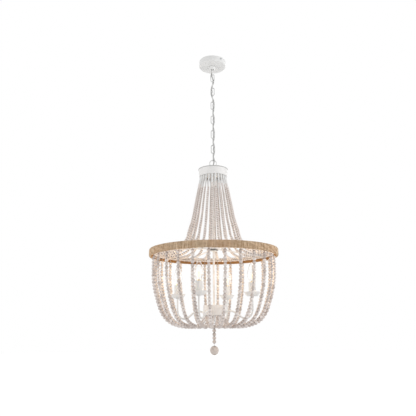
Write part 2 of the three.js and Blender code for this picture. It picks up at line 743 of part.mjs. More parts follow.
function addHub(fixture) {
  const outer = hubDiameter / 2;
  const rodHole = boreRadius(rodDiameter, gap);
  const bossEnd = hubCoverTopZ + gap;
  const cup = turned([
    [rodHole, hubTopZ], [outer, hubTopZ], [outer, hubBottomZ], [outer - hubWall, hubBottomZ],
    [outer - hubWall, hubTopZ - hubWall], [hubBossDiameter / 2, hubTopZ - hubWall],
    [hubBossDiameter / 2, bossEnd], [rodHole, bossEnd], [rodHole, hubTopZ],
  ], fineSides);
  const armHoles = Array.from({ length: lightCount }, (_, i) => {
    const hole = alongX(boreRadius(armDiameter, gap), outer - hubWall - overrun, outer + overrun, armRootZ);
    return turnedAbout(hole, lightPhase + (i * fullTurn) / lightCount - 90);
  });
  place('arm_hub', cut(cup, ...armHoles), whitePaint, fixture);
  const cover = tube(hubCoverDiameter / 2, rodHole, hubCoverZ, hubCoverTopZ, fineSides);
  place('hub_cover', cover, whitePaint, fixture);
}

// Arm: a thin tube that humps out of the hub, dips and rises to the light
function lightArm() {
  const start = hubDiameter / 2 + gap;
  const curve = new THREE.SplineCurve(armShares.map(([out, up]) => new THREE.Vector2(
    start + out * (lightRadius - start),
    armRootZ + up * armSag,
  )));
  const bent = curve.getSpacedPoints(armSteps).map((point) => new THREE.Vector3(point.x, 0, point.y));
  const tipZ = panFloorZ + gap + nippleReach;
  const points = [
    new THREE.Vector3(start - armRootReach, 0, armRootZ), ...bent, new THREE.Vector3(lightRadius, 0, tipZ),
  ];
  const arm = bar(points, points.map(() => armDiameter / 2), acrossY, wireSides);
  const rootFlange = alongX(armFlangeDiameter / 2, start, start + armFlangeThickness, armRootZ);
  const panFlange = rod(armFlangeDiameter / 2, panZ - gap - armFlangeThickness, panZ - gap);
  return joined(arm, rootFlange, panFlange.translate(lightRadius, 0, 0));
}

// Drip pan: a shallow saucer that flares from a flat floor
function dripPan() {
  const floor = panFloorDiameter / 2;
  const rim = panDiameter / 2;
  const hole = boreRadius(armDiameter, gap);
  const middle = (floor + rim) / 2;
  const middleRise = panDepth * panBendShare;
  return turned([
    [hole, 0], [floor, 0], [middle, middleRise], [rim, panDepth], [rim - panWall, panDepth],
    [middle - panWall / 2, middleRise + panWall], [floor - panWall / 2, panWall], [hole, panWall], [hole, 0],
  ], roundSides);
}

// Lamp socket: a tube that seats on the arm's end below and takes the lamp's base above
function lampSocket() {
  const nippleHole = boreRadius(armDiameter, gap);
  const baseHole = boreRadius(bulbBaseDiameter, gap);
  const boreFloor = socketHeight - socketBoreDepth;
  return turned([
    [nippleHole, 0], [socketDiameter / 2, 0], [socketDiameter / 2, socketHeight], [baseHole, socketHeight],
    [baseHole, boreFloor], [nippleHole, boreFloor], [nippleHole, 0],
  ], smallSides);
}

// Bulb: a screw base under a candle flame of clear glass
function candleBulb() {
  const base = bulbBaseDiameter / 2;
  const neck = bulbNeckDiameter / 2;
  const glass = bulbShares.map(([bulge, up]) => [
    neck + bulge * (bulge < 0 ? neck : bulbDiameter / 2 - neck), up * bulbGlassHeight,
  ]);
  return turned([
    [0, -bulbBaseLength], [base, -bulbBaseLength], [base, 0], ...glass, [0, bulbGlassHeight],
  ], bulbSides);
}

function addLights(fixture) {
  const seatZ = panFloorZ + gap;
  const sleeve = tube(sleeveDiameter / 2, sleeveDiameter / 2 - sleeveWall, 0, sleeveHeight, roundSides);
  for (let i = 0; i < lightCount; i += 1) {
    const arm = new THREE.Group();
    arm.rotation.z = (lightPhase + (i * fullTurn) / lightCount - 90) * radians;
    place(`arm_${i + 1}`, lightArm(), whitePaint, arm);
    const light = new THREE.Group();
    light.position.x = lightRadius;
    place(`drip_pan_${i + 1}`, dripPan(), whitePaint, light, panZ);
    place(`candle_sleeve_${i + 1}`, sleeve, whitePaint, light, seatZ);
    place(`lamp_socket_${i + 1}`, lampSocket(), whiteCeramic, light, seatZ);
    place(`bulb_${i + 1}`, candleBulb(), clearGlass, light, seatZ + sleeveHeight);
    arm.add(light);
    fixture.add(arm);
  }
}

// Eye under the hub: its flange holds the cover up and its ring carries the drop strand
const eyeCentreZ = eyeFlangeTopZ - eyeFlangeThickness - eyeShankLength - eyeDiameter / 2;
const dropLoopTopZ = eyeCentreZ - eyeDiameter / 2 + eyeWire + gap + dropLoopWire;

function addDrop(fixture) {
  const flangeBottom = eyeFlangeTopZ - eyeFlangeThickness;
  const stemRadius = rodDiameter / 2 - rodWall - eyeStemClearance;
  const shankEnd = eyeCentreZ + eyeDiameter / 2 - eyeWire / 2;
  const shank = turned([
    [0, shankEnd], [eyeShankDiameter / 2, shankEnd],
    [eyeShankDiameter / 2, flangeBottom], [eyeFlangeDiameter / 2, flangeBottom],
    [eyeFlangeDiameter / 2, eyeFlangeTopZ], [stemRadius, eyeFlangeTopZ],
    [stemRadius, eyeFlangeTopZ + eyeStemReach], [0, eyeFlangeTopZ + eyeStemReach],
  ], smallSides);
  const eye = standingRing(eyeDiameter, eyeWire, wireSides, eyeSteps).translate(0, 0, eyeCentreZ);
  place('bottom_eye', joined(shank, eye), whitePaint, fixture);

  const loopCentreZ = dropLoopTopZ - dropLoopDiameter / 2;
  const loop = standingRing(dropLoopDiameter, dropLoopWire, wireSides, eyeSteps);
  loop.rotateZ(Math.PI / 2).translate(0, 0, loopCentreZ);
  const beadsTopZ = loopCentreZ - dropLoopDiameter / 2;
  const ballTopZ = beadsTopZ - dropBeadCount * dropBeadPitch - dropTail;
  const wire = rod(dropWire / 2, ballTopZ - dropGrip, beadsTopZ + dropLoopWire / 2, wireSides);
  const beads = Array.from({ length: dropBeadCount }, (_, i) => {
    const bead = new THREE.SphereGeometry(dropBeadDiameter / 2, beadSides, beadRows).rotateX(Math.PI / 2);
    return bead.translate(0, 0, beadsTopZ - (i + 0.5) * dropBeadPitch);
  });
  place('drop_strand', joined(wire, loop, ...beads), washedWood, fixture);

  const ball = new THREE.SphereGeometry(ballDiameter / 2, roundSides, beadSides).rotateX(Math.PI / 2);
  const hole = rod(boreRadius(dropWire, gap), ballDiameter / 2 - dropGrip - gap, ballDiameter / 2 + overrun);
  place('drop_ball', cut(ball, hole), washedWood, fixture, ballTopZ - ballDiameter / 2);
}

function addFixture() {
  const fixture = new THREE.Group();
  addTop(fixture);
  addRing(fixture);
  addUpperStrands(fixture);
  addHub(fixture);
  addLowerStrands(fixture);
  addLights(fixture);
  addDrop(fixture);
  chandelier.add(fixture);
}

addCeilingPieces();
addChain();
addCord();
addFixture();

export default chandelier;
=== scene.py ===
import json
import math
import random

import bmesh
import bpy
from mathutils import Matrix, Vector

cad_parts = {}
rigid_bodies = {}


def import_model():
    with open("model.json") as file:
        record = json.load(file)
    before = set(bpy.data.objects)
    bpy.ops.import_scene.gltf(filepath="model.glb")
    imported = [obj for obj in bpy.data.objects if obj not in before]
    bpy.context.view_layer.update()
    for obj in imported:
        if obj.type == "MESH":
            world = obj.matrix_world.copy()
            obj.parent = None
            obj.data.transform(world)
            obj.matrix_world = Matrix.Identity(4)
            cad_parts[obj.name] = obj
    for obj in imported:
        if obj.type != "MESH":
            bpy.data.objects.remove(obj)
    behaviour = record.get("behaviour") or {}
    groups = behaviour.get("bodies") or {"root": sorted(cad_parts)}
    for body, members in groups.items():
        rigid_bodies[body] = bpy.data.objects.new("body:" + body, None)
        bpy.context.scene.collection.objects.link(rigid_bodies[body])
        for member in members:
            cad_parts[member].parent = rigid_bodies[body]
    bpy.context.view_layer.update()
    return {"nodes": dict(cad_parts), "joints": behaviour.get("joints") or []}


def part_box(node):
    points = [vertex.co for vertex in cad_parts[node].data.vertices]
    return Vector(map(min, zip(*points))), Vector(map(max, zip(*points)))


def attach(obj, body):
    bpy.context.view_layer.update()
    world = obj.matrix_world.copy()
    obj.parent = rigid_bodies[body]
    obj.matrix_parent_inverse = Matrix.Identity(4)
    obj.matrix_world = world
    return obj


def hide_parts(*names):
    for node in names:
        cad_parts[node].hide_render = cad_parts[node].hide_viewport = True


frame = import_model()
print("frame loaded:", len(frame["nodes"]), "nodes")

mm = 0.001
still = Matrix.Identity(4)
sideways = Matrix.Rotation(math.pi / 2, 4, "Y")
weldDistance = 0.002 * mm
scene = bpy.context.scene


# Camera at the photograph's height and angle
view = {"place": (0, -1.8727, -1.1286), "tilt": 109.9, "roll": -0.41, "lens": 40.5,
        "shift": (-0.012, -0.1279)}


def addCamera():
    lens = bpy.data.cameras.new("photoCamera")
    lens.lens = view["lens"]
    lens.shift_x, lens.shift_y = view["shift"]
    camera = bpy.data.objects.new("photoCamera", lens)
    camera.location = view["place"]
    tilted = Matrix.Rotation(math.radians(view["tilt"]), 3, "X")
    camera.rotation_euler = (tilted @ Matrix.Rotation(math.radians(view["roll"]), 3, "Z")).to_euler()
    scene.collection.objects.link(camera)
    scene.camera = camera


# Small helpers for shader nodes
def addNode(tree, kind, inputs=None, **settings):
    made = tree.nodes.new("ShaderNode" + kind)
    for setting, value in settings.items():
        setattr(made, setting, value)
    for socket, value in (inputs or {}).items():
        if isinstance(value, bpy.types.NodeSocket):
            tree.links.new(value, made.inputs[socket])
        else:
            made.inputs[socket].default_value = value
    return made


def tint(red, green, blue):  # a colour as it looks on screen, 0 to 255, made linear
    def linear(level):
        share = level / 255
        return share / 12.92 if share <= 0.04045 else ((share + 0.055) / 1.055) ** 2.4
    return (linear(red), linear(green), linear(blue), 1)


def scaled(tree, vector, scale):
    return addNode(tree, "Mapping", {"Vector": vector, "Scale": scale}).outputs["Vector"]


def objectPlace(tree, scale=(1, 1, 1)):
    return scaled(tree, addNode(tree, "TexCoord").outputs["Object"], scale)


def noise(tree, vector, scale, detail, roughness=0.55):
    inputs = {"Vector": vector, "Scale": scale, "Detail": detail, "Roughness": roughness}
    return addNode(tree, "TexNoise", inputs).outputs["Fac"]


def reckon(tree, operation, first, second=0.0):
    return addNode(tree, "Math", {0: first, 1: second}, operation=operation).outputs[0]


def mixColors(tree, share, first, second):
    return addNode(tree, "Mix", {0: share, 6: first, 7: second}, data_type="RGBA").outputs[2]


def stretched(tree, value, low, high, newLow=0.0, newHigh=1.0):
    made = addNode(tree, "MapRange", {
        "Value": value, "From Min": low, "From Max": high, "To Min": newLow, "To Max": newHigh})
    return made.outputs["Result"]


def addBump(tree, shader, height, distance, strength):
    bump = addNode(tree, "Bump", {"Height": height, "Distance": distance, "Strength": strength})
    tree.links.new(bump.outputs["Normal"], shader.inputs["Normal"])


def newMaterial(name, color, roughness, metallic=0.0):
    material = bpy.data.materials.new(name)
    material.use_nodes = True
    shader = material.node_tree.nodes["Principled BSDF"]
    shader.inputs["Base Color"].default_value = color
    shader.inputs["Roughness"].default_value = roughness
    shader.inputs["Metallic"].default_value = metallic
    return material, material.node_tree, shader


# Studio: a pale seamless room, a soft light from the upper right and a fill from the left
studio = {
    "floorZ": -2.4, "floorRadius": 24.0, "floorColor": tint(242, 242, 242), "floorLift": 0.42,
    "skyColor": (1.0, 1.0, 1.0, 1), "skyLight": 0.7,
    "lamps": [
        {"name": "keyLight", "place": (2.4, -0.9, -0.5), "size": 1.8, "power": 24.0},
        {"name": "fillLight", "place": (-2.4, -0.9, -1.1), "size": 1.8, "power": 15.0},
        {"name": "rimLight", "place": (0.9, 2.4, -0.1), "size": 1.4, "power": 7.0},
    ],
    "aim": (0, 0, -0.95),
}


def seenDirectly(tree):  # 1 for rays from the camera, a mirror or glass
    rays = addNode(tree, "LightPath").outputs
    either = reckon(tree, "MAXIMUM", rays["Is Camera Ray"], rays["Is Glossy Ray"])
    return reckon(tree, "MAXIMUM", either, rays["Is Transmission Ray"])


def addStudio():
    world = bpy.data.worlds.new("paleRoom")
    world.use_nodes = True
    scene.world = world
    tree = world.node_tree
    tree.nodes.clear()
    lighting = addNode(tree, "Background", {"Color": studio["skyColor"], "Strength": studio["skyLight"]})
    backdrop = addNode(tree, "Background", {"Color": studio["skyColor"], "Strength": 1.0})
    mixed = {0: seenDirectly(tree), 1: lighting.outputs[0], 2: backdrop.outputs[0]}
    addNode(tree, "OutputWorld", {"Surface": addNode(tree, "MixShader", mixed).outputs[0]})

    bm = bmesh.new()
    middle = Matrix.Translation((0, 0, studio["floorZ"]))
    bmesh.ops.create_circle(bm, cap_ends=True, radius=studio["floorRadius"], segments=64, matrix=middle)
    mesh = bpy.data.meshes.new("studioFloor")
    bm.to_mesh(mesh)
    bm.free()
    floor = bpy.data.objects.new("studioFloor", mesh)
    scene.collection.objects.link(floor)
    material, tree, shader = newMaterial("paleFloor", studio["floorColor"], 0.9)
    glow = reckon(tree, "MULTIPLY", seenDirectly(tree), studio["floorLift"])
    shader.inputs["Emission Color"].default_value = (1, 1, 1, 1)
    tree.links.new(glow, shader.inputs["Emission Strength"])
    mesh.materials.append(material)

    for lamp in studio["lamps"]:
        light = bpy.data.lights.new(lamp["name"], "AREA")
        light.shape = "DISK"
        light.size = lamp["size"]
        light.energy = lamp["power"]
        holder = bpy.data.objects.new(lamp["name"], light)
        holder.location = lamp["place"]
        aim = Vector(studio["aim"]) - holder.location
        holder.rotation_euler = aim.to_track_quat("-Z", "Y").to_euler()
        scene.collection.objects.link(holder)


addCamera()
addStudio()
scene.view_settings.view_transform = "Standard"
print("camera and studio ready")


# Plain finishes: clouds between two tones, a roughness or its range, a bump of the clouds or a finer grain
finishes = {
    "satinWhitePaint": {"cloud": (38, 4), "span": (0.35, 0.7), "tones": ((233, 233, 232), (238, 238, 237)),
                        "roughness": (0.36, 0.5), "grain": (900, 2), "bump": (0.05 * mm, 0.5)},
    "lipShadedWhitePaint": {"cloud": (45, 4), "span": (0.35, 0.7), "tones": ((234, 233, 232), (241, 240, 239)),
                         "roughness": 0.42, "grain": (900, 2), "bump": (0.05 * mm, 0.5)},
    "mottledWhitePaint": {"cloud": (60, 5, 0.6), "tones": ((224, 220, 217), (242, 239, 237)),
                          "roughness": 0.5, "grain": (500, 3), "bump": (0.08 * mm, 0.6)},
    "chainWhitePaint": {"cloud": (90, 3), "span": (0.35, 0.7), "tones": ((196, 196, 195), (222, 222, 220)),
                        "roughness": 0.38, "grain": (900, 2), "bump": (0.04 * mm, 0.5)},
    "zincPlate": {"cloud": (120, 2), "tones": ((176, 178, 181), (204, 206, 207)), "roughness": (0.3, 0.5),
                  "metallic": 0.85, "grain": (300, 2), "brushed": (1, 14, 1), "bump": (0.03 * mm, 0.5)},
    "darkSteel": {"cloud": (220, 3), "tones": ((48, 46, 44), (76, 73, 69)), "roughness": 0.45,
                  "metallic": 0.6, "bump": (0.05 * mm, 0.5)},
    "blackMoulded": {"cloud": (400, 2), "tones": ((34, 33, 32), (50, 49, 47)), "roughness": 0.5,
                     "bump": (0.03 * mm, 0.5)},
    "capBrass": {"cloud": (350, 3), "tones": ((190, 160, 100), (222, 200, 146)), "roughness": (0.22, 0.42),
                 "metallic": 0.95},
    "candleWhite": {"cloud": (240, 3), "runs": (1, 1, 0.12), "span": (0.35, 0.65), "roughness": 0.5,
                    "tones": ((224, 224, 224), (244, 244, 243)), "bump": (0.3 * mm, 0.8)},
    "mouldedHolder": {"cloud": (150, 2), "tones": ((220, 218, 211), (231, 229, 223)), "roughness": 0.3,
                      "grain": (1100, 1), "bump": (0.02 * mm, 0.4)},
}


def mottledMaterial(name):
    finish = finishes[name]
    roughness = finish["roughness"]
    varied = isinstance(roughness, tuple)
    low, high = (tint(*tone) for tone in finish["tones"])
    material, tree, shader = newMaterial(name, high, 0.5 if varied else roughness, finish.get("metallic", 0))
    cloud = noise(tree, objectPlace(tree, finish.get("runs", (1, 1, 1))), *finish["cloud"])
    tones = mixColors(tree, stretched(tree, cloud, *finish.get("span", (0.3, 0.7))), low, high)
    tree.links.new(tones, shader.inputs["Base Color"])
    if varied:
        tree.links.new(stretched(tree, cloud, 0.3, 0.7, *roughness), shader.inputs["Roughness"])
    relief = cloud
    if "grain" in finish:
        relief = noise(tree, objectPlace(tree, finish.get("brushed", (1, 1, 1))), *finish["grain"])
    if "bump" in finish:
        addBump(tree, shader, relief, *finish["bump"])
    return material


def lipShadedPaintMaterial():  # the collar's white paint, with painted shade: a grey line along its rolled lip
    material = mottledMaterial("lipShadedWhitePaint")
    tree = material.node_tree
    base = tree.nodes["Principled BSDF"].inputs["Base Color"]
    height = addNode(tree, "SeparateXYZ", {0: objectPlace(tree)}).outputs[2]
    lipZ = heights("collar")[1] - collar["lip"]
    # painted shade: grey over the lip, fading out just below it
    lipped = stretched(tree, height, lipZ - collar["greyFrom"], lipZ - collar["greyTo"])
    tree.links.new(mixColors(tree, lipped, base.links[0].from_socket, tint(190, 190, 189)), base)
    return material


def candleMaterial():  # a white moulded candle cover with faint runs down it
    material = mottledMaterial("candleWhite")
    shader = material.node_tree.nodes["Principled BSDF"]
    shader.inputs["Subsurface Weight"].default_value = 0.08
    shader.inputs["Subsurface Radius"].default_value = (0.004, 0.003, 0.002)
    return material


def layRidge(tree, along, around):  # strands twisted along a cord's UV map, from -1 between them to 1 on top
    place = addNode(tree, "TexCoord").outputs["UV"]
    parts = addNode(tree, "SeparateXYZ", {"Vector": scaled(tree, place, (along, around, 1))}).outputs
    turns = reckon(tree, "ADD", parts[0], parts[1])
    return reckon(tree, "SINE", reckon(tree, "MULTIPLY", turns, 2 * math.pi))


def cordMaterial():  # a silver grey jacket over two twisted conductors, with painted shade in the grooves between them
    material, tree, shader = newMaterial("silverGreyCord", tint(168, 168, 167), 0.36)
    ridge = layRidge(tree, cord["laysPerPiece"], 2)
    mottle = noise(tree, objectPlace(tree), 160, 3)
    # painted shade and painted light: darker in the grooves between the twisted conductors, lighter on their
    # crowns
    color = mixColors(tree, stretched(tree, ridge, -1, 1), tint(160, 160, 160), tint(190, 190, 188))
    color = mixColors(tree, stretched(tree, mottle, 0.3, 0.7, 0, 0.35), color, tint(196, 195, 192))
    tree.links.new(color, shader.inputs["Base Color"])
    addBump(tree, shader, ridge, 0.2 * mm, 0.7)
    return material


def beadMaterial(name, pale, deep, bore):  # whitewashed wood: tone differs from bead to bead; darker at the poles, where the bore shows and painted shade fills the crease between touching beads
    material, tree, shader = newMaterial(name, pale, 0.68)
    tone, pole = (addNode(tree, "Attribute", attribute_name=part).outputs["Fac"] for part in ("tone", "pole"))
    grain = addNode(tree, "Attribute", attribute_name="grain").outputs["Vector"]
    streaks = noise(tree, scaled(tree, grain, (0.9, 5.5, 5.5)), 1.6, 4, 0.6)
    pores = noise(tree, scaled(tree, grain, (2, 16, 16)), 2.2, 2)
    color = mixColors(tree, tone, deep, pale)
    color = mixColors(tree, stretched(tree, streaks, 0.38, 0.68, 0, 0.55), color, tint(240, 235, 231))
    color = mixColors(tree, stretched(tree, pores, 0.58, 0.75, 0, 0.5), color, bore)
    # poles: the dark bore, and painted shade in the crease where beads touch
    color = mixColors(tree, stretched(tree, pole, 0.72, 1, 0, 0.7), color, bore)
    tree.links.new(color, shader.inputs["Base Color"])
    tree.links.new(stretched(tree, streaks, 0.3, 0.7, 0.6, 0.8), shader.inputs["Roughness"])
    addBump(tree, shader, streaks, 0.25 * mm, 0.7)
    return material


def ropeMaterial():  # jute: twisted strands, loose fibres, a tone that shifts from turn to turn; painted shade in the grooves between strands, and painted shade with painted warm light on the inner face
    material, tree, shader = newMaterial("naturalJute", tint(200, 166, 126), 0.9)
    ridge = layRidge(tree, rope["laysAlong"], rope["strands"])
    place = addNode(tree, "TexCoord").outputs["UV"]
    perTurn = noise(tree, scaled(tree, place, (rope["turns"] * rope["tonesPerTurn"], 0, 0)), 1, 1)
    broad = noise(tree, objectPlace(tree), 11, 2)
    fibres = noise(tree, objectPlace(tree), 1500, 3, 0.7)
    flecks = noise(tree, objectPlace(tree), 300, 2, 0.6)
    level = {0: objectPlace(tree, (1, 1, 0))}
    inner = addNode(tree, "VectorMath", level, operation="LENGTH").outputs["Value"]
    color = tint(180, 142, 104)
    for part, low, high, newLow, newHigh, tone in (
            (perTurn, 0.36, 0.64, 0, 1, (252, 228, 196)), (broad, 0.4, 0.6, 0, 0.4, (214, 164, 122)),
            (fibres, 0.45, 0.75, 0, 0.5, (240, 220, 190)), (flecks, 0.5, 0.68, 0, 0.45, (142, 104, 68)),
            # the ridge entry: painted shade in the grooves between the rope's strands
            (flecks, 0.36, 0.5, 0.5, 0, (255, 236, 208)), (ridge, -1, -0.2, 0.6, 0, (120, 82, 46)),
            # painted shade and painted warm bulb light: a deeper, warmer brown on the winding's inner face
            (inner, rope["innerShadeFull"], rope["innerShadeNone"], 0.9, 0, (172, 122, 66))):
        color = mixColors(tree, stretched(tree, part, low, high, newLow, newHigh), color, tint(*tone))
    tree.links.new(color, shader.inputs["Base Color"])
    shader.inputs["Sheen Weight"].default_value = 0.25
    shader.inputs["Sheen Roughness"].default_value = 0.6
    shader.inputs["Sheen Tint"].default_value = tint(235, 215, 185)
    addBump(tree, shader, reckon(tree, "ADD", ridge, fibres), 0.35 * mm, 0.9)
    return material


def glassMaterial():
    material, tree, shader = newMaterial("clearGlass", (1, 1, 1, 1), 0.015)
    shader.inputs["Transmission Weight"].default_value = 1.0
    shader.inputs["IOR"].default_value = 1.46
    ripple = noise(tree, objectPlace(tree, (1, 1, 0.4)), 60, 1)
    color = mixColors(tree, ripple, (0.985, 0.99, 0.985, 1), (1, 1, 1, 1))
    tree.links.new(color, shader.inputs["Base Color"])
    addBump(tree, shader, ripple, 0.04 * mm, 0.3)
    return material


def filamentMaterial():
    material, tree, shader = newMaterial("litFilament", tint(255, 224, 130), 0.5)
    shader.inputs["Emission Color"].default_value = bulb["glowColor"]
    coil = noise(tree, objectPlace(tree), 700, 1)
    glow = stretched(tree, coil, 0.3, 0.7, bulb["glow"] * 0.8, bulb["glow"] * 1.2)
    tree.links.new(glow, shader.inputs["Emission Strength"])
    return material


# Forms are meshes in their own frame, closed and facing out, that a piece is put together from
def closeUp(bm):
    bmesh.ops.remove_doubles(bm, verts=bm.verts, dist=weldDistance)
    bmesh.ops.recalc_face_normals(bm, faces=bm.faces)


def softEdges(bm, width, segments=2, least=32):
    sharp = [edge for edge in bm.edges if edge.is_manifold and edge.calc_face_angle(0) > math.radians(least)]
    bmesh.ops.bevel(bm, geom=sharp, offset=width, offset_type="OFFSET", segments=segments, profile=0.5,
                    affect="EDGES", clamp_overlap=True, material=-1)


def asForm(bm, name):
    mesh = bpy.data.meshes.new(name)
    bm.to_mesh(mesh)
    bm.free()
    return mesh


def arc(middle, radius, start, end, steps):  # (radius, height) points, by degrees from outwards to up
    turns = [math.radians(start + (end - start) * i / steps) for i in range(steps + 1)]
    return [(middle[0] + radius * math.cos(turn), middle[1] + radius * math.sin(turn)) for turn in turns]


def stepped(radii, levels):  # corners of a profile that steps from radius to radius, at a level each
    return [(radius, level) for i, level in enumerate(levels) for radius in radii[i:i + 2]]


def domeArc(neck, foot, low, high, step):  # from a dome's foot up to its neck
    turns = [math.radians(turn) for turn in range(0, 91, step)]
    return [(neck + (foot - neck) * math.cos(turn), low + (high - low) * math.sin(turn)) for turn in turns]


def spunProfile(profile, steps, ring=True):
    # ring: the profile closes on itself, otherwise it starts and ends on the axis
    bm = bmesh.new()
    corners = [bm.verts.new((radius, 0, height)) for radius, height in profile]
    sides = [bm.edges.new(pair) for pair in zip(corners, corners[1:])]
    if ring:
        sides.append(bm.edges.new((corners[-1], corners[0])))
    bmesh.ops.spin(bm, geom=corners + sides, cent=(0, 0, 0), axis=(0, 0, 1), angle=2 * math.pi, steps=steps,
                   use_merge=True)
    return bm


def turnedForm(profile, steps, edge=0.0, segments=2, ring=True):
    # a piece's spin holds the steps round, then the width and the steps of its softened edges
    bm = spunProfile(profile, steps, ring)
    closeUp(bm)
    if edge:
        softEdges(bm, edge, segments)
        closeUp(bm)
    return asForm(bm, "turned")


def bushForm(inner, outer, bottom, top, steps, edge, segments=2):
    return turnedForm(stepped((inner, outer, inner), (bottom, top)), steps, edge, segments)


def smoothPath(points, steps):
    # a centripetal curve through the points, in the same way as the model's own cord
    points = [Vector(point) for point in points]
    ends = [points[0] * 2 - points[1]] + points + [points[-1] * 2 - points[-2]]
    path = []
    for near in zip(ends, ends[1:], ends[2:], ends[3:]):
        knots = [0]
        for first, second in zip(near, near[1:]):
            knots.append(knots[-1] + max((second - first).length, weldDistance) ** 0.5)
        for i in range(steps):
            t = knots[1] + (knots[2] - knots[1]) * i / steps

            def between(p, q, first, last):
                low, high = knots[first], knots[last]
                return p * ((high - t) / (high - low)) + q * ((t - low) / (high - low))
            ab, bc, cd = (between(near[k], near[k + 1], k, k + 1) for k in range(3))
            path.append(between(between(ab, bc, 0, 2), between(bc, cd, 1, 3), 1, 2))
    return path + [points[-1]]


def tubeForm(points, radius, sides=8, loop=False, swell=None):  # sides: 4, 6, 8 and so on
    curve = bpy.data.curves.new("tube", "CURVE")
    curve.dimensions = "3D"
    curve.bevel_depth = radius
    curve.bevel_resolution = sides // 2 - 2
    curve.use_fill_caps = not loop
    line = curve.splines.new("POLY")
    line.points.add(len(points) - 1)
    line.points.foreach_set("co", [value for point in points for value in (*point, 1)])
    line.use_cyclic_u = loop
    if swell:  # how many times the radius at each point
        line.points.foreach_set("radius", swell)
    holder = bpy.data.objects.new("tube", curve)
    scene.collection.objects.link(holder)
    mesh = bpy.data.meshes.new_from_object(holder.evaluated_get(bpy.context.evaluated_depsgraph_get()))
    bpy.data.objects.remove(holder)
    bpy.data.curves.remove(curve)
    bm = bmesh.new()
    bm.from_mesh(mesh)
    closeUp(bm)
    return asForm(bm, "tube")


def stamp(bm, form, matrix=still):  # adds a copy of a form and gives back its corners
    before = len(bm.verts)
    bm.from_mesh(form)
    bm.verts.ensure_lookup_table()
    added = bm.verts[before:]
    bmesh.ops.transform(bm, matrix=matrix, verts=added)
    return added


def dress(mesh, name, material, body, slot, *replaced, smoothBelow=38):
    mesh.name = name
    mesh.materials.clear()
    mesh.materials.append(material)
    mesh.shade_smooth()
    mesh.set_sharp_from_angle(angle=math.radians(smoothBelow))
    piece = bpy.data.objects.new(name, mesh)
    scene.collection.objects.link(piece)
    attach(piece, body)
    if replaced:
        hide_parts(*replaced)
    return piece


def makePiece(name, forms, material, body, slot, *replaced, smoothBelow=38):
    # forms: one form as it lies, or a list of forms, each with its place
    bm = bmesh.new()
    for form, matrix in forms if isinstance(forms, list) else [(forms, still)]:
        stamp(bm, form, matrix)
    return dress(asForm(bm, name), name, material, body, slot, *replaced, smoothBelow=smoothBelow)


def makePainted(name, forms, material, *replaced):
    makePiece(name, forms, material, "fixture", "white_paint", *replaced)


def moved(x, y, z):
    return Matrix.Translation((x, y, z))


def onCircle(radius, turn, height=0):  # the point at that azimuth, in radians
    return radius * math.sin(turn), -radius * math.cos(turn), height


def up(height):
    return moved(0, 0, height)


def turnedTo(azimuth):  # a form drawn along +X, turned to that azimuth
    return Matrix.Rotation(math.radians(azimuth - 90), 4, "Z")


def heights(node):
    low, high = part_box(node)
    return low.z, high.z


# The cord, from inside the canopy through the chain into the rod
cord = {
    "radius": 2.5 * mm, "offset": 4.9 * mm, "middleShare": 0.42, "tail": 8 * mm, "sides": 12, "steps": 10,
    "laysPerPiece": 2.2, "lap": 2.6 * mm, "endShare": 0.8, "stemEndZ": -16.9 * mm, "domeEndZ": -38.7 * mm,
    "firstLinkZ": -64.95 * mm, "lowerDomeZ": -504.0 * mm, "collarZ": -517.3 * mm, "rodZ": -552.6 * mm,
    "sideSigns": [(-1, -1), (1, 1), (-1, 1), (-1, -1), (1, -1), (1, 1), (1, 1),
                  (1, -1), (1, -1), (1, 1), (1, 1), (1, -1), (1, -1)],
}
chainJoints = [joint for joint in frame["joints"] if joint["name"].startswith(("link_", "fixture_"))]


def cordRoute():
    bottoms = [heights(f"chain_link_{i + 1:02}")[0] for i in range(len(chainJoints) - 1)]
    pitch = (bottoms[0] - bottoms[-1]) / (len(bottoms) - 1)
    meetings = [Vector((x * cord["offset"], y * cord["offset"], cord["firstLinkZ"] - i * pitch))
                for i, (x, y) in enumerate(cord["sideSigns"])]
    laced = [meetings[0]]
    for before, after in zip(meetings, meetings[1:]):
        middle = (before + after) / 2
        middle.xy *= cord["middleShare"]
        laced += [middle, after]
    above = [cord["stemEndZ"] + cord["tail"], cord["stemEndZ"], cord["domeEndZ"]]
    below = [cord["lowerDomeZ"], cord["collarZ"], cord["rodZ"]]
    return [Vector((0, 0, z)) for z in above] + laced + [Vector((0, 0, z)) for z in below]


def addCord():
    # one stretch for each body, from hinge to hinge; neighbours lap over each other,
    # so none parts as the chain bends
    path = smoothPath(cordRoute(), cord["steps"])
    hinges = [joint["pos_m"][2] for joint in chainJoints]
    bodies = [chainJoints[0]["parent"]] + [joint["child"] for joint in chainJoints]
    tops = [path[0].z] + [z + cord["lap"] for z in hinges]
    ends = [z - cord["lap"] for z in hinges] + [path[-1].z]
    material = cordMaterial()
    for i, (body, high, low) in enumerate(zip(bodies, tops, ends)):
        stretch = [point for point in path if low < point.z < high]
        for first, second in zip(path, path[1:]):
            if first.z >= high > second.z:
                stretch.insert(0, first.lerp(second, (first.z - high) / (first.z - second.z)))
            if first.z > low >= second.z:
                stretch.append(first.lerp(second, (first.z - low) / (first.z - second.z)))
        swell = [cord["endShare"]] + [1] * (len(stretch) - 2) + [cord["endShare"]]
        form = tubeForm(stretch, cord["radius"], cord["sides"], swell=swell)
        replaced = ["power_cord"] if i == 0 else []
        dress(form, f"cordStretch{i + 1:02}", material, body, "grey_cord", *replaced)


addCord()
print("cord laid")

satinWhite = mottledMaterial("satinWhitePaint")
mottledWhite = mottledMaterial("mottledWhitePaint")
zinc = mottledMaterial("zincPlate")


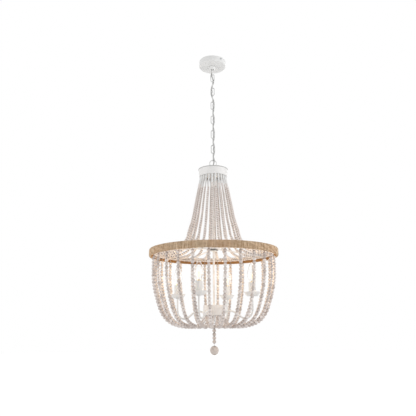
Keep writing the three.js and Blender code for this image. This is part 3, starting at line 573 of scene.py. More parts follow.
# Canopy, its bar, screws, loop, bushing and nut
canopy = {"radius": 59.7 * mm, "wall": 1.2 * mm, "edge": 3 * mm, "edgeSteps": 10, "hole": 5.3 * mm,
          "spin": (96, 0.3 * mm)}
screw = {"azimuths": (39.4, 219.4), "z": -10 * mm, "shank": 2 * mm, "pointShare": 0.7, "head": 4 * mm,
         "headHeight": 4.5 * mm, "domeStartShare": 0.35, "tip": 49.4 * mm, "slotHalf": 0.5 * mm,
         "slotDepth": 1.1 * mm}
loop = {
    "ring": 14.2 * mm, "wire": 1.8 * mm, "wireSteps": 48, "wireSides": 16, "length": 43 * mm, "foot": 14 * mm,
    "rim": 2.5 * mm, "neck": 6.5 * mm, "domeHeight": 13 * mm, "bore": 3.3 * mm, "stem": 5 * mm,
    "threadStart": 2 * mm, "threadPitch": 1.25 * mm, "threadDepth": 0.45 * mm, "spin": (48, 0.25 * mm),
}
loopAbove = {"neckHeight": 13 * mm, "openHalf": 24}
loopBelow = {"neckHeight": 15.4 * mm, "openHalf": 21}
bushing = {"radius": 5 * mm, "bore": 2.7 * mm, "spin": (40, 0.5 * mm, 3)}
nut = {"corner": 8.5 * mm, "bore": 5.05 * mm, "spin": (6, 0.7 * mm)}


def canopyCup():
    bottom, top = heights("canopy")
    middle = (canopy["radius"] - canopy["edge"], bottom + canopy["edge"])
    outside = arc(middle, canopy["edge"], -90, 0, canopy["edgeSteps"])
    inside = arc(middle, canopy["edge"] - canopy["wall"], 0, -90, canopy["edgeSteps"])
    profile = [(canopy["hole"], bottom), *outside, (canopy["radius"], top),
               (canopy["radius"] - canopy["wall"], top), *inside, (canopy["hole"], bottom + canopy["wall"])]
    return turnedForm(profile, *canopy["spin"])


def slottedScrew():
    # a domed head with a driver slot, drawn along Z with its seat at 0
    head, height, shank = screw["head"], screw["headHeight"], screw["shank"]
    tip = screw["tip"] - canopy["radius"]
    dome = domeArc(0, head, height * screw["domeStartShare"], height, 15)[:-1]
    profile = [(0, tip), (shank * screw["pointShare"], tip), (shank, tip + shank), (shank, 0), (head, 0),
               *dome, (0, height)]
    bm = bmesh.new()
    bm.from_mesh(turnedForm(profile, 32, ring=False))
    for side in (-1, 1):
        bmesh.ops.bisect_plane(bm, geom=bm.verts[:] + bm.edges[:] + bm.faces[:], plane_no=(0, 1, 0),
                               plane_co=(0, side * screw["slotHalf"], 0))
    floor = [face for face in bm.faces if abs(face.calc_center_median().y) < screw["slotHalf"]
             and face.normal.z > 0.3 and face.calc_center_median().z > height / 3]
    sunk = bmesh.ops.extrude_face_region(bm, geom=floor)
    bmesh.ops.delete(bm, geom=floor, context="FACES_ONLY")
    lowered = [item for item in sunk["geom"] if isinstance(item, bmesh.types.BMVert)]
    bmesh.ops.translate(bm, verts=lowered, vec=(0, 0, -screw["slotDepth"]))
    closeUp(bm)
    return asForm(bm, "slottedScrew")


def loopForms(stemLength, kind):
    # foot and ring, standing on the foot's seat at 0, the ring open by some degrees each side of its foot
    pitch, root = loop["threadPitch"], loop["stem"] - loop["threadDepth"]
    threads = []
    reach = -loop["threadStart"]
    while reach > -stemLength + pitch:
        threads += [(loop["stem"], reach), (root, reach - pitch / 2)]
        reach -= pitch
    dome = domeArc(loop["neck"], loop["foot"], loop["rim"], loop["domeHeight"], 10)
    profile = [(loop["bore"], -stemLength), (root, -stemLength), *reversed(threads), (loop["stem"], 0),
               (loop["foot"], 0), *dome, (loop["neck"], kind["neckHeight"]),
               (loop["bore"], kind["neckHeight"])]
    middle = loop["length"] - loop["ring"] - loop["wire"]
    ring = arc((0, middle), loop["ring"], -90 + kind["openHalf"], 270 - kind["openHalf"], loop["wireSteps"])
    return [turnedForm(profile, *loop["spin"]),
            tubeForm([(x, 0, z) for x, z in ring], loop["wire"], loop["wireSides"])]


def addCeilingPieces():
    makePiece("canopyCup", canopyCup(), satinWhite, "ceiling", "white_paint", "canopy")
    for number, azimuth in enumerate(screw["azimuths"], 1):
        place = turnedTo(azimuth) @ moved(canopy["radius"], 0, screw["z"]) @ sideways
        makePiece(f"canopySideScrew{number}", [(slottedScrew(), place)], zinc, "ceiling", "zinc_steel",
                  f"canopy_screw_{number}")
    bar = frame["nodes"]["mounting_crossbar"]
    bar.data.materials.clear()
    bar.data.materials.append(zinc)

    bottom, top = heights("canopy_loop")
    seat = bottom + loop["length"]
    place = up(seat) @ Matrix.Rotation(math.pi, 4, "X") @ Matrix.Rotation(math.pi / 2, 4, "Z")
    makePiece("canopyHangingLoop", [(form, place) for form in loopForms(top - seat, loopAbove)], satinWhite,
              "ceiling", "white_paint", "canopy_loop")
    form = bushForm(bushing["bore"], bushing["radius"], *heights("cord_bushing"), *bushing["spin"])
    makePiece("cordBushing", form, mottledMaterial("blackMoulded"), "ceiling", "black_plastic",
              "cord_bushing")
    form = bushForm(nut["bore"], nut["corner"], *heights("loop_lock_nut"), *nut["spin"])
    makePiece("lockNut", form, zinc, "ceiling", "zinc_steel", "loop_lock_nut")


addCeilingPieces()
print("canopy done")


# Chain of long oval links, each a quarter turn from the last
link = {"wire": 1.65 * mm, "bend": 7.35 * mm, "straight": 11.65 * mm, "arcSteps": 14, "sides": 14}


def chainLinkForm():
    bm = bmesh.new()
    start = moved(link["bend"], 0, -link["straight"])
    bmesh.ops.create_circle(bm, cap_ends=False, radius=link["wire"], segments=link["sides"], matrix=start)
    edge = bm.edges[:]
    for end in (1, -1):
        straight = bmesh.ops.extrude_edge_only(bm, edges=edge)["geom"]
        far = [item for item in straight if isinstance(item, bmesh.types.BMVert)]
        bmesh.ops.translate(bm, verts=far, vec=(0, 0, 2 * link["straight"] * end))
        edge = [item for item in straight if isinstance(item, bmesh.types.BMEdge)
                and all(corner in far for corner in item.verts)]
        bent = bmesh.ops.spin(bm, geom=edge, cent=(0, 0, link["straight"] * end), axis=(0, 1, 0),
                              angle=-math.pi, steps=link["arcSteps"])
        edge = [item for item in bent["geom_last"] if isinstance(item, bmesh.types.BMEdge)]
    closeUp(bm)
    return asForm(bm, "chainLink")


def addChain():
    form = chainLinkForm()
    chainWhite = mottledMaterial("chainWhitePaint")
    for i in range(len(chainJoints) - 1):
        node = f"chain_link_{i + 1:02}"
        place = up(sum(heights(node)) / 2) @ Matrix.Rotation(math.pi / 2 * (i % 2), 4, "Z")
        makePiece(f"ovalLink{i + 1:02}", [(form, place)], chainWhite, f"link_{i + 1:02}", "white_paint", node)


addChain()
print("chain done")


# Collar, plate, coupling, rod and the body's loop
collar = {
    "top": 62.3 * mm, "lip": 3 * mm, "shoulder": 60.7 * mm, "bottom": 58 * mm, "wall": 1.5 * mm,
    "hole": 5.3 * mm, "corner": 1.4 * mm, "cornerSteps": 6, "spin": (96, 0.35 * mm),
    "greyFrom": 1.2 * mm, "greyTo": 0.4 * mm,
}
plate = {"radius": 45 * mm, "sleeve": 8 * mm, "thickness": 2 * mm, "hole": 5.3 * mm, "spin": (72, 0.4 * mm)}
coupling = {"radius": 10 * mm, "stemHole": 5.3 * mm, "rodHole": 4.3 * mm, "grip": 10 * mm,
            "spin": (48, 1.2 * mm, 3)}
rod = {"radius": 4 * mm, "wall": 1 * mm, "spin": (32, 0.15 * mm, 1)}


def addTop():
    bottom, top = heights("collar")
    corner, steps, wall = collar["corner"], collar["cornerSteps"], collar["wall"]
    lipEdge = arc((collar["top"] - corner, top - corner), corner, 90, 0, steps)
    lipUnder = arc((collar["top"] - corner, top - collar["lip"] + corner), corner, 0, -90, steps)
    profile = [(collar["hole"], top), *lipEdge, *lipUnder, (collar["shoulder"], top - collar["lip"]),
               (collar["bottom"], bottom), (collar["bottom"] - wall, bottom),
               (collar["shoulder"] - wall, top - wall), (collar["hole"], top - wall)]
    makePainted("collarCup", turnedForm(profile, *collar["spin"]), lipShadedPaintMaterial(), "collar")

    bottom, top = heights("strand_plate")
    profile = stepped((plate["hole"], plate["radius"], plate["sleeve"], plate["hole"]),
                      (bottom, bottom + plate["thickness"], top))
    makePainted("strandPlate", turnedForm(profile, *plate["spin"]), satinWhite, "strand_plate")

    bottom, top = heights("rod_coupling")
    profile = stepped((coupling["rodHole"], coupling["radius"], coupling["stemHole"], coupling["rodHole"]),
                      (bottom, top, top - coupling["grip"]))
    makePainted("rodCoupling", turnedForm(profile, *coupling["spin"]), satinWhite, "rod_coupling")

    form = bushForm(rod["radius"] - rod["wall"], rod["radius"], *heights("centre_rod"), *rod["spin"])
    makePainted("centreRod", form, mottledWhite, "centre_rod")

    bottom, top = heights("body_loop")
    seat = top - loop["length"]
    forms = [(form, up(seat)) for form in loopForms(seat - bottom, loopBelow)]
    makePainted("bodyHangingLoop", forms, satinWhite, "body_loop")


addTop()
print("collar done")


# Ring: hoop, rope winding, spider, washer and nut
rope = {
    "radius": 2 * mm, "outer": 252 * mm, "inner": 244 * mm, "halfHeight": 12 * mm, "turns": 396,
    "stepsPerTurn": 16, "sides": 6, "strands": 3, "laysAlong": 396 * 6.5, "tonesPerTurn": 1.35,
    "innerShadeFull": 0.2435, "innerShadeNone": 0.2475, "cornerShare": 0.32,
}
hoop = {"outer": 249.7 * mm, "inner": 246.3 * mm, "spin": (128, 0.4 * mm)}
spider = {"boss": 13 * mm, "hole": 4.3 * mm, "spoke": 2.5 * mm, "root": 6.5 * mm, "reach": 245.5 * mm,
          "firstAzimuth": 26.95, "count": 4, "bossHeight": 9 * mm, "spokeSteps": 12, "spokeSides": 12,
          "spin": (48, 0.8 * mm, 3)}
washer = {"radius": 18.5 * mm, "hole": 4.3 * mm, "nutCorner": 13 * mm, "nutHeight": 4 * mm,
          "spin": (48, 0.3 * mm), "nutSpin": (6, 0.6 * mm)}


def ropePath(middleZ):
    # one long helix of flattened turns round the hoop
    def flattened(value):
        return math.copysign(abs(value) ** rope["cornerShare"], value)
    halfWidth = (rope["outer"] - rope["inner"]) / 2
    middleRadius = (rope["outer"] + rope["inner"]) / 2
    total = rope["turns"] * rope["stepsPerTurn"]
    path = []
    for i in range(total):
        around = 2 * math.pi * i / total
        turn = 2 * math.pi * i / rope["stepsPerTurn"]
        radius = middleRadius + flattened(math.cos(turn)) * halfWidth
        height = flattened(math.sin(turn)) * rope["halfHeight"]
        path.append(onCircle(radius, around, middleZ + height))
    return path


def addRing():
    winding = tubeForm(ropePath(sum(heights("rope_wrap")) / 2), rope["radius"], rope["sides"], loop=True)
    dress(winding, "juteWinding", ropeMaterial(), "fixture", "jute_rope", "rope_wrap", smoothBelow=80)
    form = bushForm(hoop["inner"], hoop["outer"], *heights("ring_hoop"), *hoop["spin"])
    makePainted("ringHoop", form, mottledWhite, "ring_hoop")

    spokeEndZ, bossTopZ = heights("ring_spider")
    bossZ = bossTopZ - spider["bossHeight"]
    forms = [(bushForm(spider["hole"], spider["boss"], bossZ, bossTopZ, *spider["spin"]), still)]
    start = Vector((spider["root"], 0, (bossZ + bossTopZ) / 2))
    end = Vector((spider["reach"], 0, spokeEndZ + spider["spoke"]))
    steps = spider["spokeSteps"]
    line = [start.lerp(end, i / steps) for i in range(steps + 1)]
    spoke = tubeForm(line, spider["spoke"], spider["spokeSides"])
    for i in range(spider["count"]):
        forms.append((spoke, turnedTo(spider["firstAzimuth"] + i * 360 / spider["count"])))
    makePainted("ringSpider", forms, mottledWhite, "ring_spider")

    bottom, top = heights("spider_washer")
    form = bushForm(washer["hole"], washer["radius"], bottom, top, *washer["spin"])
    makePiece("spiderWasher", form, mottledMaterial("darkSteel"), "fixture", "dark_steel", "spider_washer")
    nutZ = bottom - washer["nutHeight"]
    form = bushForm(washer["hole"], washer["nutCorner"], nutZ, bottom, *washer["nutSpin"])
    makePainted("spiderNut", form, satinWhite)


addRing()
print("ring and winding done")


# Bead strands
strand = {
    "count": 26, "firstAzimuth": -4.2, "segments": 10, "rings": 6, "flat": 0.93, "poleCut": 0.03, "seed": 11,
    "wobble": 0.035, "wire": 0.9 * mm, "wireBend": 1 * mm, "tie": 1.5 * mm, "tieOverlap": 4.5,
    "pathSteps": 10,
}
upper = {
    "name": "upper", "groups": 2, "startRadius": 49.7 * mm, "endRadius": 239.6 * mm, "startZ": -542.3 * mm,
    "endZ": -857.2 * mm, "startBead": 8.2 * mm, "endBead": 14.6 * mm, "growth": 0.65, "poleGain": 1.1,
    "toneFloor": 0.7, "tieRadius": 42.7 * mm, "tieZ": -538.5 * mm, "wireIn": 4 * mm,
    "shares": [(0, 0), (0.066, 0.2), (0.131, 0.41), (0.19, 0.6), (0.258, 0.735),
               (0.308, 0.85), (0.43, 0.94), (0.66, 0.99), (1, 1)],
    "bareLength": (34 * mm, 66 * mm), "bareRadius": 3 * mm,
    "bareSwell": [1.75, 1.6, 1.4, 1.2, 1.08, 1, 1, 1, 1],
}
lower = {
    "name": "lower", "groups": 4, "startRadius": 236 * mm, "lowRadius": 95 * mm, "endRadius": 36.75 * mm,
    "startZ": -880.6 * mm, "depth": 257.2 * mm, "endZ": -1098.5 * mm, "startBead": 13.6 * mm,
    "endBead": 3.8 * mm, "growth": 3, "poleGain": 0.96, "toneFloor": 0, "tieRadius": 33.25 * mm,
    "tieZ": -1093.0 * mm, "hookRadius": 245.4 * mm, "hookZ": -866.3 * mm, "wireIn": 6 * mm, "wireOut": 2 * mm,
    "bareLength": (0, 0),
    "bowlShares": [(0, 0), (0, 0.2), (0.024, 0.37), (0.115, 0.583), (0.262, 0.795), (0.42, 0.907),
                   (0.65, 0.972), (1, 1)],
    "riseShares": [(0.42, 0.1), (0.8, 0.48), (1, 1)],
}
band = {"outer": 241.7 * mm, "drop": 0.3 * mm, "bead": 9.6 * mm, "rows": 2, "rowPitch": 8 * mm,
        "sink": 1.5 * mm}


def strandTurn(number):
    return turnedTo(strand["firstAzimuth"] + number * 360 / strand["count"])


def beadForm():  # a unit bead along Z, flattened where its neighbours touch it
    bm = bmesh.new()
    bmesh.ops.create_uvsphere(bm, u_segments=strand["segments"], v_segments=strand["rings"], radius=1.0)
    pole = 1 - strand["poleCut"]
    for corner in bm.verts:
        if abs(corner.co.z) > 0.99:
            corner.co.z *= pole
    bmesh.ops.scale(bm, verts=bm.verts, vec=(1, 1, 1 / pole))
    return asForm(bm, "bead")


def lengthsAlong(path):
    lengths = [0]
    for first, second in zip(path, path[1:]):
        lengths.append(lengths[-1] + (second - first).length)
    return lengths


def pointAt(path, lengths, distance):
    for i in range(len(path) - 1):
        if distance <= lengths[i + 1] or i == len(path) - 2:
            share = (distance - lengths[i]) / (lengths[i + 1] - lengths[i])
            return path[i].lerp(path[i + 1], share), (path[i + 1] - path[i]).normalized()


def threadBeads(path, diameterAt, start):
    # places touching beads from that distance to the path's end: (middle, direction, diameter, length)
    lengths = lengthsAlong(path)
    beads = []
    reach = start
    while reach < lengths[-1]:
        diameter = diameterAt(pointAt(path, lengths, reach)[0])
        beads.append((reach, diameter))
        reach += diameter * strand["flat"]
    fit = (lengths[-1] - start) / (reach - start)
    placed = []
    for reach, diameter in beads:
        length = diameter * strand["flat"] * fit
        point, direction = pointAt(path, lengths, start + (reach - start) * fit + length / 2)
        placed.append((point, direction, diameter, length))
    return placed


def beadLayers(bm):
    return (bm.verts.layers.float.new("tone"), bm.verts.layers.float.new("pole"),
            bm.verts.layers.float_vector.new("grain"))


def stampBead(bm, layers, form, place, size, kind, chance):
    # one bead of its own tone and grain, turned at random about its hole
    tone, pole, grain = layers
    wobble = 1 + strand["wobble"] * chance.uniform(-1, 1)
    spun = Matrix.Rotation(chance.uniform(0, 2 * math.pi), 4, "Z")
    sized = Matrix.Diagonal((size[0] * wobble, size[1] * wobble, size[2], 1))
    beadTone = chance.uniform(kind["toneFloor"], 1)
    offset = Vector([chance.uniform(0, 90) for _ in range(3)])
    added = stamp(bm, form)
    for corner in added:
        corner[tone] = beadTone
        # pole: the mask for the dark bore and the painted crease shade at each end of the bead
        corner[pole] = abs(corner.co.z) * kind["poleGain"]
        corner[grain] = corner.co + offset
    bmesh.ops.transform(bm, matrix=place @ sized @ spun, verts=added)


def strandGroup(name, node, kind, strands, path, diameterAt, wires, chance, material):
    bm = bmesh.new()
    layers = beadLayers(bm)
    bead = beadForm()
    for wire in wires:
        form = tubeForm(wire, strand["wire"], 6)
        for number in strands:
            stamp(bm, form, strandTurn(number))
    for number in strands:
        bare = chance.uniform(*kind["bareLength"])
        for point, direction, diameter, length in threadBeads(path, diameterAt, bare):
            facing = direction.to_track_quat("Z", "Y").to_matrix().to_4x4()
            stampBead(bm, layers, bead, strandTurn(number) @ Matrix.Translation(point) @ facing,
                      (diameter / 2, diameter / 2, length / 2), kind, chance)
    step, steps = 360 / strand["count"], 4 * len(strands)
    start = strand["firstAzimuth"] + strands[0] * step - strand["tieOverlap"]
    sweep = (len(strands) - 1) * step + 2 * strand["tieOverlap"]
    turns = [math.radians(start + sweep * i / steps) for i in range(steps + 1)]
    tie = [onCircle(kind["tieRadius"], turn, kind["tieZ"]) for turn in turns]
    stamp(bm, tubeForm(tie, strand["tie"], 8))
    dress(asForm(bm, name), name, material, "fixture", "washed_wood", node, smoothBelow=75)


def addGroups(kind, *making):
    ends = [math.floor(i * strand["count"] / kind["groups"] + 0.5) for i in range(kind["groups"] + 1)]
    for i, strands in enumerate(map(range, ends, ends[1:]), 1):
        strandGroup(f"{kind['name']}Beads{i}", f"{kind['name']}_strands_{i}", kind, strands, *making)
    print(kind["name"], "strands threaded")


def addBand(chance, material):
    # short beads close together, row under row, along the ring's inner face
    bm = bmesh.new()
    layers = beadLayers(bm)
    bead = beadForm()
    half = band["bead"] / 2
    radius = band["outer"] - half
    top = heights("rope_wrap")[1] - band["drop"] - half
    count = round(2 * math.pi * radius / band["bead"])
    for row in range(band["rows"]):
        for i in range(count):
            drop = top - row * band["rowPitch"] - chance.uniform(0, band["sink"])
            place = turnedTo((i + row / 2) * 360 / count) @ moved(radius, 0, drop)
            stampBead(bm, layers, bead, place, (half, half, half), upper, chance)
    dress(asForm(bm, "strandBand"), "strandBand", material, "fixture", "washed_wood", smoothBelow=75)


def addUpperStrands(chance, material):
    start, bend = upper["startRadius"], strand["wireBend"]
    width, fall = upper["endRadius"] - start, upper["endZ"] - upper["startZ"]
    points = [(start + out * width, 0, upper["startZ"] + down * fall) for out, down in upper["shares"]]
    path = smoothPath(points, strand["pathSteps"])

    def diameterAt(point):
        share = max(0, (point.x - start) / width)
        return upper["startBead"] + share ** upper["growth"] * (upper["endBead"] - upper["startBead"])
    wire = [(upper["tieRadius"], 0, upper["tieZ"]), (start - bend, 0, upper["tieZ"]),
            (start, 0, upper["tieZ"] - bend), (start, 0, upper["startZ"] - upper["wireIn"])]
    addGroups(upper, path, diameterAt, [wire], chance, material)

    lengths = lengthsAlong(path)
    steps = len(upper["bareSwell"]) - 1
    bare = [pointAt(path, lengths, upper["bareLength"][1] * i / steps)[0] for i in range(steps + 1)]
    form = tubeForm(bare, upper["bareRadius"], 8, swell=upper["bareSwell"])
    makePainted("strandSleeves", [(form, strandTurn(i)) for i in range(strand["count"])], satinWhite)


def addLowerStrands(chance, material):
    start, low, end = lower["startRadius"], lower["lowRadius"], lower["endRadius"]
    bend = strand["wireBend"]
    lowZ = lower["startZ"] - lower["depth"]
    points = [(start + share * (low - start), 0, lower["startZ"] - down * lower["depth"])
              for share, down in lower["bowlShares"]]
    points += [(low + share * (end - low), 0, lowZ + rise * (lower["endZ"] - lowZ))
               for share, rise in lower["riseShares"]]

    def diameterAt(point):
        share = max(0, (low - point.x) / (low - end))
        return lower["endBead"] + (1 - share) ** lower["growth"] * (lower["startBead"] - lower["endBead"])
    wires = [
        [(lower["hookRadius"], 0, lower["hookZ"]), (start + bend, 0, lower["hookZ"]),
         (start, 0, lower["hookZ"] - bend), (start, 0, lower["startZ"] - lower["wireIn"])],
        [(end, 0, lower["endZ"] - lower["wireOut"]), (end, 0, lower["tieZ"] - bend),
         (end - bend, 0, lower["tieZ"]), (lower["tieRadius"], 0, lower["tieZ"])],
    ]
    addGroups(lower, smoothPath(points, strand["pathSteps"]), diameterAt, wires, chance, material)


strandChance = random.Random(strand["seed"])
washedBeads = beadMaterial("washedBeads", tint(238, 229, 224), tint(188, 174, 167), tint(112, 92, 82))
addUpperStrands(strandChance, washedBeads)
addBand(strandChance, washedBeads)
addLowerStrands(strandChance, washedBeads)


# Hub, its cover and the arms
hub = {"radius": 41 * mm, "wall": 1.5 * mm, "hole": 4.3 * mm, "boss": 7.5 * mm, "bossGap": 0.3 * mm,
       "spin": (96, 0.3 * mm), "edge": 1.4 * mm, "edgeSteps": 6}
cover = {"radius": 34 * mm, "hole": 4.3 * mm, "spin": (72, 0.4 * mm)}
arm = {
    "radius": 3.25 * mm, "start": 41.3 * mm, "rootReach": 9 * mm, "sag": 22 * mm, "rootRise": 10 * mm,
    "tipRise": 8.8 * mm, "flange": 6.5 * mm, "flangeThickness": 2.5 * mm, "flangeBite": 0.2 * mm,
    "flangeGap": 0.3 * mm, "flangeSpin": (32, 0.6 * mm, 3), "sides": 16, "steps": 6,
    "shares": [(0, 0), (0.098, 0.15), (0.232, 0.227), (0.393, -0.045), (0.554, -0.636), (0.688, -0.977),
               (0.813, -0.93), (0.929, -0.5), (0.985, 0.1), (1, 0.8)],
}
light = {"count": 4, "firstAzimuth": -20.6, "radius": 153.0 * mm}


def lightAzimuth(i):
    return light["firstAzimuth"] + i * 360 / light["count"]


def addHub():
    bottom, top = heights("arm_hub")
    coverZ, coverTop = heights("hub_cover")
    bossEnd = coverTop + hub["bossGap"]
    outer, inner = hub["radius"], hub["radius"] - hub["wall"]
    shoulder = arc((outer - hub["edge"], top - hub["edge"]), hub["edge"], 90, 0, hub["edgeSteps"])
    inside = stepped((outer, inner, hub["boss"], hub["hole"]), (bottom, top - hub["wall"], bossEnd))
    profile = [(hub["hole"], top), *shoulder, *inside]
    makePainted("armHub", turnedForm(profile, *hub["spin"]), mottledWhite, "arm_hub")
    form = bushForm(cover["hole"], cover["radius"], coverZ, coverTop, *cover["spin"])
    makePainted("hubCover", form, mottledWhite, "hub_cover")


def addArms():
    rootZ = heights("arm_hub")[0] + arm["rootRise"]
    reach = light["radius"] - arm["start"]
    points = [(arm["start"] + out * reach, 0, rootZ + rise * arm["sag"]) for out, rise in arm["shares"]]
    bend = smoothPath(points, arm["steps"])
    inner, thickness = arm["radius"] - arm["flangeBite"], arm["flangeThickness"]
    flange = bushForm(inner, arm["flange"], 0, thickness, *arm["flangeSpin"])
    for i in range(light["count"]):
        panBottom = heights(f"drip_pan_{i + 1}")[0]
        tip = Vector((light["radius"], 0, panBottom + arm["tipRise"]))
        path = [Vector((arm["start"] - arm["rootReach"], 0, rootZ)), *bend, tip]
        turned = turnedTo(lightAzimuth(i))
        flangeZ = panBottom - arm["flangeGap"] - thickness
        forms = [(tubeForm(path, arm["radius"], arm["sides"]), turned),
                 (flange, turned @ moved(arm["start"], 0, rootZ) @ sideways),
                 (flange, turned @ moved(light["radius"], 0, flangeZ))]
        makePainted(f"lightArm{i + 1}", forms, satinWhite, f"arm_{i + 1}")


addHub()
addArms()
print("hub and arms done")


# Lights: drip pan, lamp holder, candle cover and bulb
pan = {"rim": 31 * mm, "floor": 17 * mm, "hole": 3.6 * mm, "wall": 1.5 * mm, "depth": 15 * mm,
       "spin": (64, 0.35 * mm), "flareSteps": 4,
       "flareShares": [(0, 0), (0.22, 0.04), (0.5, 0.32), (0.8, 0.72), (1, 1)],
       "wallShares": (0.8, 0.6, 0.15)}
holder = {"radius": 11 * mm, "hole": 3.6 * mm, "bore": 6.4 * mm, "boreDepth": 25 * mm, "groove": 0.8 * mm,
          "ribShares": (0.3, 0.5, 0.7), "spin": (48, 0.4 * mm)}
sleeve = {"radius": 13.5 * mm, "wall": 1.3 * mm, "gap": 0.3 * mm, "steps": 72, "rows": 26, "drips": 9,
          "dripDepth": 0.8 * mm, "dripWidth": 0.16, "dripReach": (0.25, 0.8), "bevel": 0.25 * mm}
bulb = {
    "baseRadius": 6 * mm, "baseLength": 22 * mm, "glassHeight": 74 * mm, "neck": 7.5 * mm, "belly": 17.5 * mm,
    "wall": 0.6 * mm, "steps": 48, "pathSteps": 5, "capSpin": (40, 0.12 * mm, 1), "filamentSteps": 8,
    "shares": [(0, 0), (0.3, 0.07), (0.78, 0.2), (1, 0.34), (0.93, 0.5), (0.6, 0.68), (0.1, 0.84),
               (-0.45, 0.96)],
    "thread": 0.5 * mm, "threads": 5, "threadStart": 6 * mm, "threadEnd": 4 * mm,
    "capFoot": [(0, 0), (2.2 * mm, 0), (2.4 * mm, 1.2 * mm), (3.72 * mm, 2 * mm), (5.5 * mm, 4.5 * mm)],
    "capTop": [(6 * mm, -2 * mm), (6 * mm, 0), (6.9 * mm, 0.8 * mm), (6.75 * mm, 2.4 * mm), (0, 2.4 * mm)],
    "stem": [(0, 2.4 * mm), (4.6 * mm, 2.4 * mm), (3.4 * mm, 5 * mm), (2.2 * mm, 8.88 * mm),
             (1.7 * mm, 14.8 * mm), (0, 15.8 * mm)],
    "filamentLow": 14.8 * mm, "filamentHigh": 29.6 * mm, "filamentSpread": 3.2 * mm, "filamentLean": 0.6 * mm,
    "filamentShares": [(-0.5, 0, 0), (-1, 0, 0.5), (-0.55, 1, 1), (0, 0, 0.62), (0.55, -1, 1), (1, 0, 0.5),
                       (0.5, 0, 0)],
    "filamentWire": 0.45 * mm, "glowColor": (1.0, 0.84, 0.2, 1), "glow": 1.6, "lampColor": (1.0, 0.74, 0.42),
    "lampPower": 0.2, "lampSize": 12 * mm,
}


def panForm():
    floor, rim, wall = pan["floor"], pan["rim"], pan["wall"]
    thinned, lifted, lipped = pan["wallShares"]
    points = [(floor + out * (rim - floor), 0, rise * pan["depth"]) for out, rise in pan["flareShares"]]
    outside = [(point.x, point.z) for point in smoothPath(points, pan["flareSteps"])]
    inside = [(radius - wall * thinned, height + wall * lifted) for radius, height in outside[-2::-1]]
    profile = [(pan["hole"], 0), *outside, (rim - wall, pan["depth"] + wall * lipped), *inside,
               (pan["hole"], wall)]
    return turnedForm(profile, *pan["spin"])


def holderForm(height):
    radius, groove = holder["radius"], holder["groove"]
    ribs = [(radius - sunk * groove, height * share + rise * groove) for share in holder["ribShares"]
            for sunk, rise in ((0, -2), (1, -1), (1, 1), (0, 2))]
    inside = stepped((radius, holder["bore"], holder["hole"]), (height, height - holder["boreDepth"]))
    return turnedForm([(holder["hole"], 0), (radius, 0), *ribs, *inside], *holder["spin"])


def sleeveForm(height, chance):
    # a candle cover: wax runs swell its outside, longest at their tops
    outer = sleeve["radius"] - sleeve["dripDepth"] / 2
    inner = sleeve["radius"] - sleeve["wall"] - sleeve["gap"]
    rows = [(outer, height * i / sleeve["rows"]) for i in range(sleeve["rows"] + 1)]
    bm = bmesh.new()
    bm.from_mesh(turnedForm(rows + [(inner, height), (inner, 0)], sleeve["steps"]))
    drips = [(chance.uniform(0, 2 * math.pi), chance.uniform(*sleeve["dripReach"]), chance.uniform(0.5, 1))
             for _ in range(sleeve["drips"])]
    for corner in bm.verts:
        if corner.co.xy.length < outer - sleeve["wall"] / 2:
            continue
        azimuth = math.atan2(corner.co.y, corner.co.x)
        swell = 0
        for at, reach, size in drips:
            away = abs((azimuth - at + math.pi) % (2 * math.pi) - math.pi) / sleeve["dripWidth"]
            below = (1 - corner.co.z / height) / reach
            if below < 1:
                swell = max(swell, size * math.exp(-away * away) * min(1, 4 * (1 - below)) ** 0.5)
        corner.co.xy *= 1 + swell * sleeve["dripDepth"] / outer
    softEdges(bm, sleeve["bevel"], least=60)
    return asForm(bm, "candleSleeve")


def glassForm():
    neck, belly, height, wall = bulb["neck"], bulb["belly"], bulb["glassHeight"], bulb["wall"]
    points = [(neck + bulge * (neck if bulge < 0 else belly - neck), 0, rise * height)
              for bulge, rise in bulb["shares"]]
    outside = [(point.x, point.z) for point in smoothPath(points + [(0, 0, height)], bulb["pathSteps"])]
    inside = [(max(0, radius - wall), min(z, height - wall)) for radius, z in outside[:-1]]
    bm = spunProfile([*outside, (0, height - wall), *inside[::-1]], bulb["steps"])
    onAxis = [edge for edge in bm.edges if all(end.co.xy.length < weldDistance for end in edge.verts)]
    bmesh.ops.delete(bm, geom=onAxis, context="EDGES")
    closeUp(bm)
    return asForm(bm, "bulbGlass")


def capForm():  # screw cap with rolled threads and a contact
    length, depth, steps = bulb["baseLength"], bulb["thread"], bulb["threads"] * 4
    pitch = (length - bulb["threadStart"] - bulb["threadEnd"]) / steps
    threads = [(bulb["baseRadius"] - depth + depth * math.sin(i * math.pi / 2),
                bulb["threadStart"] - length + i * pitch) for i in range(steps + 1)]
    foot = [(radius, height - length) for radius, height in bulb["capFoot"]]
    return turnedForm(foot + threads + bulb["capTop"], *bulb["capSpin"], ring=False)


def filamentPath():
    spread, lean, low = bulb["filamentSpread"], bulb["filamentLean"], bulb["filamentLow"]
    height = bulb["filamentHigh"] - low
    points = [(x * spread, y * lean, low + z * height) for x, y, z in bulb["filamentShares"]]
    return smoothPath(points, bulb["filamentSteps"])


